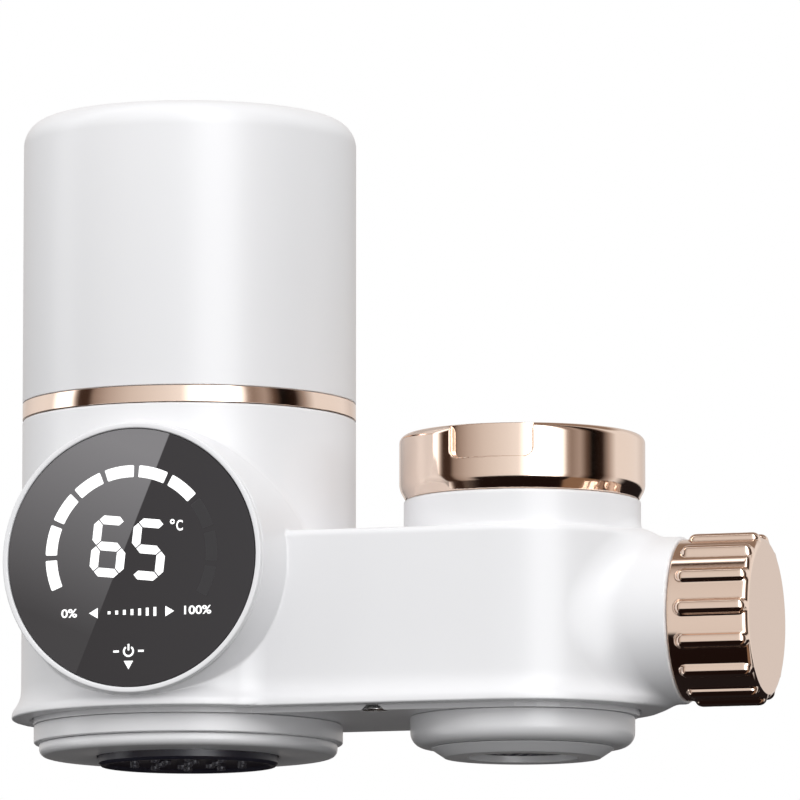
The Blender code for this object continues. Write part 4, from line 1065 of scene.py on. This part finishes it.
def lettering(text, height, width, x, y):
    """A word of plain type as a thin plate, drawn wider or narrower, centred on a point of the window."""
    curve = bpy.data.curves.new("type", "FONT")
    curve.body = text
    curve.align_x = "CENTER"
    curve.align_y = "CENTER"
    curve.size = height / TYPE_CAPS
    curve.offset = height * TYPE_BOLD
    curve.extrude = (SIGN_TOP - SIGN_LOW) / 2
    typed = bpy.data.objects.new("type", curve)
    bpy.context.scene.collection.objects.link(typed)
    mesh = evaluated_mesh(typed)
    at = display_axis @ Matrix.Translation((x, y, (SIGN_LOW + SIGN_TOP) / 2))
    mesh.transform(at @ Matrix.Diagonal((width, 1.0, 1.0, 1.0)))
    return mesh


def pointer(x, y, size, degrees):
    """A small triangle that points at this angle."""
    turns = [math.radians(degrees + 120 * step) for step in range(3)]
    return sign_plate([(x + size * math.cos(turn), y + size * math.sin(turn)) for turn in turns])


def small_ring(centre, inner, outer, start, end):
    """An open or closed circle of line."""
    return sign_plate(arc(centre, outer, start, end, steps=24) + arc(centre, inner, end, start, steps=24))


def tick(x, y, width, height):
    """A small upright bar."""
    return sign_plate(bar(x, y, width, height))


# Each mark's place is measured from the middle of the window.
key_x, key_y = KEY_AT
marks = [
    small_ring(DEGREE_AT, 0.00020, 0.00052, 0, 350),
    lettering("C", 0.0021, 0.72, *UNIT_AT),
    lettering("0%", PERCENT_H, PERCENT_WIDE, -0.0130, SCALE_ROW),
    lettering("100%", PERCENT_H, PERCENT_WIDE, 0.0137, SCALE_ROW),
    pointer(-0.0076, SCALE_ROW, 0.00122, 180),
    pointer(0.0078, SCALE_ROW, 0.00122, 0),
    pointer(key_x, key_y - 0.0025, 0.00113, 270),
    small_ring(KEY_AT, 0.00078, 0.00116, 125, 415),
    tick(key_x, key_y + 0.0008, 0.00038, 0.0013),
    tick(key_x - 0.0026, key_y, KEY_DASH, 0.00042),
    tick(key_x + 0.0026, key_y, KEY_DASH, 0.00042),
]
for step in range(-3, 4):
    bar_h = SCALE_BAR_H + SCALE_BAR_GROWS * step
    marks.append(tick(0.0002 + SCALE_STEP * step, SCALE_ROW, SCALE_BAR_W, bar_h))
sign("marks_lit", marks, lit)

# Diverter knob: plated rose gold over plastic, pushed on the spindle. Fifteen round-ended ribs
# stand round it for grip.
KNOB_R = BOSS_R - 0.0006
KNOB_START = knob_low.x - TAP_X
KNOB_END = knob_high.x - TAP_X
KNOB_ROUND = 0.0014
KNOB_EDGE = 0.0003
KNOB_WALL = 0.0022
HUB_OUT_R = 0.0083
HUB_START = KNOB_START + 0.0012
SPINDLE_R = 0.0063
SPINDLE_END = 0.0446
RIBS = 15
RIB_PHASE = math.radians(-3.5)
RIB_R = 0.0016
RIB_FILLET = 0.00035
RIB_LOW = KNOB_START + 0.0016 + RIB_R
RIB_HIGH = KNOB_END - 0.0003 - RIB_R
RIB_AXIS_R = KNOB_R + 0.0012 - RIB_R
INNER_EDGE = 0.0002
SHARPEST = 0.001
KNOB_VOXEL = 0.00022
PLATED_REACH = 0.0005
PLATED_MOST = 150000


def nearest_turn(angle, count):
    """The angle from the nearest of so many even turns."""
    pitch = 2 * math.pi / count
    return (angle + pitch / 2) % pitch - pitch / 2


def knob_skin(points, soft):
    """The distance to the knob's outside, with its ribs blended in, and to its hollow."""
    out = points[:, 0] - TAP_X
    y = points[:, 1] - AXIS_Y
    z = points[:, 2] - VALVE_Z
    from_axis = np.hypot(y, z)
    angle = nearest_turn(np.arctan2(y, -z) + math.pi / 2 - RIB_PHASE, RIBS)
    radial = from_axis * np.cos(angle) - RIB_AXIS_R
    across = from_axis * np.sin(angle)
    rib = np.sqrt(radial**2 + across**2 + (out - np.clip(out, RIB_LOW, RIB_HIGH)) ** 2) - RIB_R
    drum = common(from_axis - KNOB_R, out - KNOB_END, KNOB_ROUND * max(soft, SHARPEST))
    body = weld(drum, rib, RIB_FILLET * soft)
    body = common(body, KNOB_START - out, KNOB_EDGE * soft)
    hollow = np.maximum(from_axis - KNOB_R + KNOB_WALL, out - KNOB_END + KNOB_WALL)
    hollow = np.maximum(hollow, HUB_OUT_R - from_axis)
    socket = np.maximum(from_axis - SPINDLE_R, out - SPINDLE_END - GAP)
    mouth = np.maximum(from_axis - HUB_OUT_R, out - HUB_START)
    return common(body, -np.minimum(hollow, np.minimum(socket, mouth)), INNER_EDGE * soft)


knob_mesh = fine_skin(merged_copy("diverter_knob"), knob_skin, KNOB_VOXEL, PLATED_REACH, PLATED_MOST)
knob = piece("ribbed_knob", knob_mesh, rose_gold)
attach(knob, "diverter")
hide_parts("diverter_knob")

# Tap adapter: a turned brass bush with an inner thread for the spout. A woven steel screen and a rubber
# washer lie in it.
adapter_low, adapter_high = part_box("tap_adapter")
screen_low, screen_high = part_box("inlet_screen")
washer_low, washer_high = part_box("inlet_washer")
ADAPTER_R = radius_of("tap_adapter")
ADAPTER_BORE_R = 0.0113
ADAPTER_LEDGE = 0.0033
ADAPTER_SEAT = 0.0057
MOUTH_R = 0.0170
TAIL_OUT_R = 0.0132
FLANGE_H = 0.0028
TAP_PITCH = 0.0010
TAP_RIDGE = 0.00035
WASHER_R = radius_of("inlet_washer")
SCREEN_R = radius_of("inlet_screen")
SCREEN_RIM = 0.0012
WIRE_R = 0.00014
WIRE_STEP = 0.00105
WIRE_CROSSING = WIRE_R * 0.9
brass = surface("turned_brass", (0.60, 0.42, 0.19), 0.24, metallic=1.0, tint=0.12, spread=0.12, relief=0.02)
flange_z = nut_high.z - FLANGE_H - GAP
seat_z = adapter_low.z + ADAPTER_SEAT
ledge_z = adapter_low.z + ADAPTER_LEDGE
profile = [
    (ADAPTER_BORE_R, adapter_high.z),
    (MOUTH_R - GAP, adapter_high.z),
    (MOUTH_R - GAP, flange_z),
    (ADAPTER_R, flange_z),
    (ADAPTER_R, seat_z),
    (TAIL_OUT_R, seat_z),
    (TAIL_OUT_R, adapter_low.z),
    (ADAPTER_BORE_R - ADAPTER_LEDGE, adapter_low.z),
    (ADAPTER_BORE_R - ADAPTER_LEDGE, ledge_z),
    (ADAPTER_BORE_R, ledge_z),
]
bush = piece("brass_bush", turned(profile, tap_axis, edge=0.0003, steps=160), brass)
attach(bush, "root")
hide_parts("tap_adapter")
thread_foot = washer_high.z + GAP
thread_top = adapter_high.z - 2 * GAP
thread_mesh = thread(ADAPTER_BORE_R + SEAM, thread_foot, thread_top, TAP_PITCH, TAP_RIDGE, brass, tap_axis)
bush_thread = piece("bush_thread", thread_mesh, brass)
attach(bush_thread, "root")
profile = plain_section(WASHER_R - ADAPTER_LEDGE, WASHER_R, washer_low.z, washer_high.z)
washer = piece("spout_washer", turned(profile, tap_axis, edge=0.0003, steps=128), rubber)
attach(washer, "root")
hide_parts("inlet_washer")


def wires_tree():
    """Geometry nodes that lay straight wires side by side across a disc, each as long as its chord."""
    takes = {
        "Geometry": "Geometry",
        "Radius": "Float",
        "Count": "Int",
        "Step": "Float",
        "Wire": "Float",
        "Finish": "Material",
    }
    tree, given = node_group("wires_across_a_disc", "GeometryNodeTree", takes, {"Geometry": "Geometry"})
    index = node(tree, "GeometryNodeInputIndex").outputs[0]
    middle = maths(tree, "MULTIPLY", maths(tree, "SUBTRACT", given["Count"], 1.0), 0.5)
    offset = maths(tree, "MULTIPLY", maths(tree, "SUBTRACT", index, middle), given["Step"])
    share = maths(tree, "DIVIDE", offset, given["Radius"])
    left = maths(tree, "SUBTRACT", 1.0, maths(tree, "MULTIPLY", share, share))
    chord = maths(tree, "SQRT", maths(tree, "MAXIMUM", left, 0.0001))
    reach = maths(tree, "MULTIPLY", chord, given["Radius"])
    spot = node(tree, "ShaderNodeCombineXYZ", {"Y": offset})
    points = node(tree, "GeometryNodePoints", {"Count": given["Count"], "Position": spot.outputs[0]})
    line = node(tree, "GeometryNodeCurvePrimitiveLine", {"Start": (-1.0, 0.0, 0.0), "End": (1.0, 0.0, 0.0)})
    stretch = node(tree, "ShaderNodeCombineXYZ", {"X": reach, "Y": 1.0, "Z": 1.0})
    values = {"Points": points.outputs[0], "Instance": line.outputs[0], "Scale": stretch.outputs[0]}
    laid = node(tree, "GeometryNodeInstanceOnPoints", values)
    real = node(tree, "GeometryNodeRealizeInstances", {0: laid.outputs[0]})
    return ended(tree, swept(tree, real.outputs[0], given["Wire"]), given["Finish"])


wires_across = wires_tree()
woven_r = SCREEN_R - SCREEN_RIM / 2
screen_mid = (screen_high.z + screen_low.z) / 2
wire_count = int(2 * woven_r / WIRE_STEP)
values = {"Radius": woven_r, "Count": wire_count, "Step": WIRE_STEP, "Wire": WIRE_R, "Finish": steel}
profile = plain_section(SCREEN_R - SCREEN_RIM, SCREEN_R, screen_low.z, screen_high.z)
woven = bmesh.new()
woven.from_mesh(turned(profile, tap_axis, edge=0.0001, steps=128))
for turn, lift in ((0.0, WIRE_CROSSING), (math.pi / 2, -WIRE_CROSSING)):
    wires = grown(bpy.data.meshes.new("wires"), steel, wires_across, values)
    layer = tap_axis @ Matrix.Translation((0.0, 0.0, screen_mid + lift))
    wires.transform(layer @ Matrix.Rotation(turn, 4, "Z"))
    woven.from_mesh(wires)
screen = piece("spout_screen", mesh_of(woven), steel)
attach(screen, "root")
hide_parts("inlet_screen")

# Coupling nut: plated rose gold, screwed on the water body's spigot, with two shallow round-cornered
# finger flats and a tapered foot.
NUT_R = radius_of("coupling_nut")
NUT_CHAMFER = 0.0010
NUT_ROUND = 0.0004
NUT_FOOT_H = 0.0024
NUT_FOOT_IN = 0.0013
NUT_FOOT_LEAN = NUT_FOOT_IN / NUT_FOOT_H
NUT_BORE_R = NECK_R - NECK_WALL
FLATS = 2
FLAT_TURN = math.pi / 2
FLAT_HALF_W = 0.0086
FLAT_TALL = 0.0068
FLAT_DEEP = 0.0012
FLAT_ROUND = 0.0018
FLAT_EDGE = 0.00022
NUT_VOXEL = 0.00024


def nut_skin(points, soft):
    """The distance to the nut's outside, its finger flats and its stepped bore."""
    x = points[:, 0] - TAP_X
    y = points[:, 1] - AXIS_Y
    z = points[:, 2]
    from_axis = np.hypot(x, y)
    side = common(from_axis - NUT_R, z - nut_high.z, INNER_EDGE / 2 * soft)
    chamfer = (from_axis - NUT_R + z - nut_high.z + NUT_CHAMFER) / math.sqrt(2)
    body = common(side, chamfer, NUT_ROUND * soft)
    foot = from_axis - NUT_R + NUT_FOOT_IN - NUT_FOOT_LEAN * (z - nut_low.z)
    body = common(body, foot / math.hypot(1.0, NUT_FOOT_LEAN), NUT_ROUND * soft)
    body = common(body, nut_low.z - z, INNER_EDGE * soft)
    angle = nearest_turn(np.arctan2(y, x) - FLAT_TURN, FLATS)
    across = np.abs(from_axis * np.sin(angle)) - FLAT_HALF_W + FLAT_ROUND
    down = nut_high.z - FLAT_TALL + FLAT_ROUND - z
    flat = np.hypot(np.maximum(across, 0.0), np.maximum(down, 0.0))
    flat += np.minimum(np.maximum(across, down), 0.0) - FLAT_ROUND
    flat = np.maximum(flat, NUT_R - FLAT_DEEP - from_axis)
    body = common(body, -flat, FLAT_EDGE * soft)
    bore = np.minimum(from_axis - MOUTH_R, np.maximum(from_axis - NUT_BORE_R, z - nut_high.z + FLANGE_H))
    return common(body, -bore, INNER_EDGE * soft)


nut_mesh = fine_skin(merged_copy("coupling_nut"), nut_skin, NUT_VOXEL, PLATED_REACH, PLATED_MOST)
nut = piece("finger_nut", nut_mesh, rose_gold)
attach(nut, "nut")
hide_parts("coupling_nut")

# Studio: a pale floor just under the outlets, seen from above only, so that the low camera looks through it
# to the white background. Soft lamps stand round the part, and polished metal sees the dark and bright
# bands of a studio in the world.
FLOOR_SIZE = 6.0
FLOOR_Z = -0.0002
FLOOR_COLOUR = (0.86, 0.86, 0.86)
WHITE = (1.0, 1.0, 1.0, 1.0)
CAMERA_AZIMUTH = math.radians(16.4)
CAMERA_ELEVATION = math.radians(-7.2)
CAMERA_DISTANCE = 1.80
PIXELS_PER_METRE = 4935.0
FRAME_PIXELS = 800.0
SENSOR_MM = 36.0
TARGET = Vector((FILTER_X + 0.0448, AXIS_Y, UNDERSIDE + 0.0641))
LAMP_DISTANCE = 1.2
# Each lamp's name, its degrees to the right of the camera and upwards, its size and its power.
LAMPS = (("key_lamp", 5, 30, 0.6, 6.6), ("left_lamp", -80, 15, 0.5, 1.5))
AMBIENT = 0.85
AMBIENT_BELOW = 0.10
FADE_LOW = -0.75
FADE_HIGH = -0.05
SIDE_FADE = 0.15
FRONT_FULL = math.radians(35)
FRONT_END = math.radians(100)
BAND_TOP = 5.0
WARMTH = (1.0, 1.2, 1.33)
# The studio's walls that metal sees: degrees to the right of the camera, and the brightness there.
BANDS = (
    (-180, 0.70), (-150, 0.75), (-136, 0.88), (-120, 0.95), (-108, 0.95), (-102, 2.00), (-88, 2.00),
    (-84, 0.45), (-81, 0.05), (-72, 0.05), (-68, 0.32), (-56, 0.54), (-40, 0.74), (-15, 0.93), (-4, 1.05),
    (4, 2.2), (9, 5.0), (31, 5.0), (36, 2.2), (42, 0.45), (46, 0.30), (55, 0.44), (62, 0.12), (68, 0.0),
    (80, 0.02), (88, 0.40), (98, 0.92), (134, 0.92), (148, 0.75), (180, 0.70),
)
STUDIO_FLOOR = (0.012, 0.006, 0.005)
STUDIO_BROWN = (0.26, 0.16, 0.10)
STUDIO_CEILING = (0.30, 0.22, 0.17)
STUDIO_BEHIND = (0.016, 0.012, 0.012)
TO_LEFT = (-95, -115)
TO_RIGHT = (95, 115)
# Shades over the walls: the colour, the elevations between which it comes in, and the bearings at its sides.
STUDIO_SHADES = (
    (STUDIO_FLOOR, (-20, -26), ((-60, -46), (50, 45))),
    (STUDIO_FLOOR, (-36, -46), ()),
    (STUDIO_BROWN, (-20, -26), ((45, 50), (84, 78))),
    (STUDIO_CEILING, (34, 46), (TO_LEFT,)),
    (STUDIO_CEILING, (34, 46), (TO_RIGHT,)),
    (STUDIO_BEHIND, (-1, -5), (TO_LEFT,)),
    (STUDIO_BEHIND, (-1, -5), (TO_RIGHT,)),
)

bm = bmesh.new()
bmesh.ops.create_grid(bm, x_segments=2, y_segments=2, size=FLOOR_SIZE / 2)
floor_mesh = mesh_of(bm)
floor_mesh.transform(Matrix.Translation((0.0, 0.0, FLOOR_Z)))
floor_paint = surface("pale_floor", FLOOR_COLOUR, 0.7, tint=0.01, relief=0.0)
tree = floor_paint.node_tree
unseen = maths(tree, "SUBTRACT", 1.0, node(tree, "ShaderNodeLightPath").outputs["Is Camera Ray"])
from_below = node(tree, "ShaderNodeNewGeometry").outputs["Backfacing"]
values = {
    "Fac": maths(tree, "MAXIMUM", from_below, unseen),
    1: tree.nodes["Principled BSDF"].outputs[0],
    2: node(tree, "ShaderNodeBsdfTransparent").outputs[0],
}
floor_shader = node(tree, "ShaderNodeMixShader", values)
tree.links.new(floor_shader.outputs[0], tree.nodes["Material Output"].inputs["Surface"])
floor = piece("floor", floor_mesh, floor_paint)

world = bpy.data.worlds.new("studio")
bpy.context.scene.world = world
world.use_nodes = True
tree = world.node_tree
tree.nodes.clear()


def world_step(value, low, high):
    """A soft step from 0 to 1 as a value goes from low to high, which may be the lower of the two."""
    values = {"Value": value, "From Min": low, "From Max": high}
    return node(tree, "ShaderNodeMapRange", values, interpolation_type="SMOOTHSTEP").outputs["Result"]


def world_light(colour, strength):
    """An even light from the world."""
    return node(tree, "ShaderNodeBackground", {"Color": colour, "Strength": strength}).outputs[0]


def world_choice(share, one, other):
    """One light of the world, or the other as the share rises."""
    return node(tree, "ShaderNodeMixShader", {"Fac": share, 1: one, 2: other}).outputs[0]


heading = node(tree, "ShaderNodeTexCoord").outputs["Generated"]
apart = node(tree, "ShaderNodeSeparateXYZ", {"Vector": heading}).outputs
height = apart["Z"]
azimuth = maths(tree, "ARCTAN2", apart["X"], maths(tree, "MULTIPLY", apart["Y"], -1.0))
bearing = maths(tree, "WRAP", maths(tree, "SUBTRACT", azimuth, CAMERA_AZIMUTH), math.pi, -math.pi)
share = node(tree, "ShaderNodeMapRange", {"Value": bearing, "From Min": -math.pi, "From Max": math.pi})
bands = node(tree, "ShaderNodeValToRGB", {"Fac": share.outputs["Result"]})
for index, (degrees, level) in enumerate(BANDS):
    place = (degrees + 180) / 360
    stop = bands.color_ramp.elements[index] if index < 2 else bands.color_ramp.elements.new(place)
    stop.position = place
    warm = [level**power if level < 1.0 else level for power in WARMTH]
    stop.color = (*[value / BAND_TOP for value in warm], 1.0)
banded = bands.outputs["Color"]
for colour, elevations, sides in STUDIO_SHADES:
    share = world_step(height, *[math.sin(math.radians(degrees)) for degrees in elevations])
    for side in sides:
        beside = world_step(bearing, *[math.radians(degrees) for degrees in side])
        share = maths(tree, "MULTIPLY", share, beside)
    values = {"Factor": share, "A": banded, "B": (*[value / BAND_TOP for value in colour], 1.0)}
    banded = node(tree, "ShaderNodeMix", values, data_type="RGBA").outputs["Result"]
in_front = world_step(maths(tree, "ABSOLUTE", bearing), FRONT_END, FRONT_FULL)
front_rise = node(tree, "ShaderNodeMapRange", {"Value": height, "From Min": FADE_LOW, "From Max": FADE_HIGH})
side_rise = world_step(height, -SIDE_FADE, SIDE_FADE)
values = {"Factor": in_front, "A": side_rise, "B": front_rise.outputs["Result"]}
rise = node(tree, "ShaderNodeMix", values).outputs["Result"]
fill_level = node(tree, "ShaderNodeMapRange", {"Value": rise, "To Min": AMBIENT_BELOW, "To Max": AMBIENT})
ray = node(tree, "ShaderNodeLightPath").outputs
fill = world_light(WHITE, fill_level.outputs["Result"])
by_gloss = world_choice(ray["Is Glossy Ray"], fill, world_light(banded, BAND_TOP))
by_camera = world_choice(ray["Is Camera Ray"], by_gloss, world_light(WHITE, 1.0))
node(tree, "ShaderNodeOutputWorld", {"Surface": by_camera})


def towards(azimuth, elevation):
    """The direction from the part towards an azimuth, measured from the camera's, and an elevation."""
    turn = CAMERA_AZIMUTH + azimuth
    level = math.cos(elevation)
    return Vector((math.sin(turn) * level, -math.cos(turn) * level, math.sin(elevation)))


def stood(name, data, direction, distance):
    """A lamp or camera that faces the part from this direction."""
    made = bpy.data.objects.new(name, data)
    bpy.context.scene.collection.objects.link(made)
    made.location = TARGET + direction * distance
    made.rotation_euler = direction.to_track_quat("Z", "Y").to_euler()
    return made


for name, degrees, elevation, size, power in LAMPS:
    light = bpy.data.lights.new(name, "AREA")
    light.size = size
    light.energy = power
    lamp = stood(name, light, towards(math.radians(degrees), math.radians(elevation)), LAMP_DISTANCE)
    lamp.visible_glossy = False

lens = bpy.data.cameras.new("camera")
lens.sensor_width = SENSOR_MM
lens.lens = PIXELS_PER_METRE * CAMERA_DISTANCE / FRAME_PIXELS * SENSOR_MM
bpy.context.scene.camera = stood("camera", lens, towards(0.0, CAMERA_ELEVATION), CAMERA_DISTANCE)
bpy.context.scene.view_settings.view_transform = "Standard"
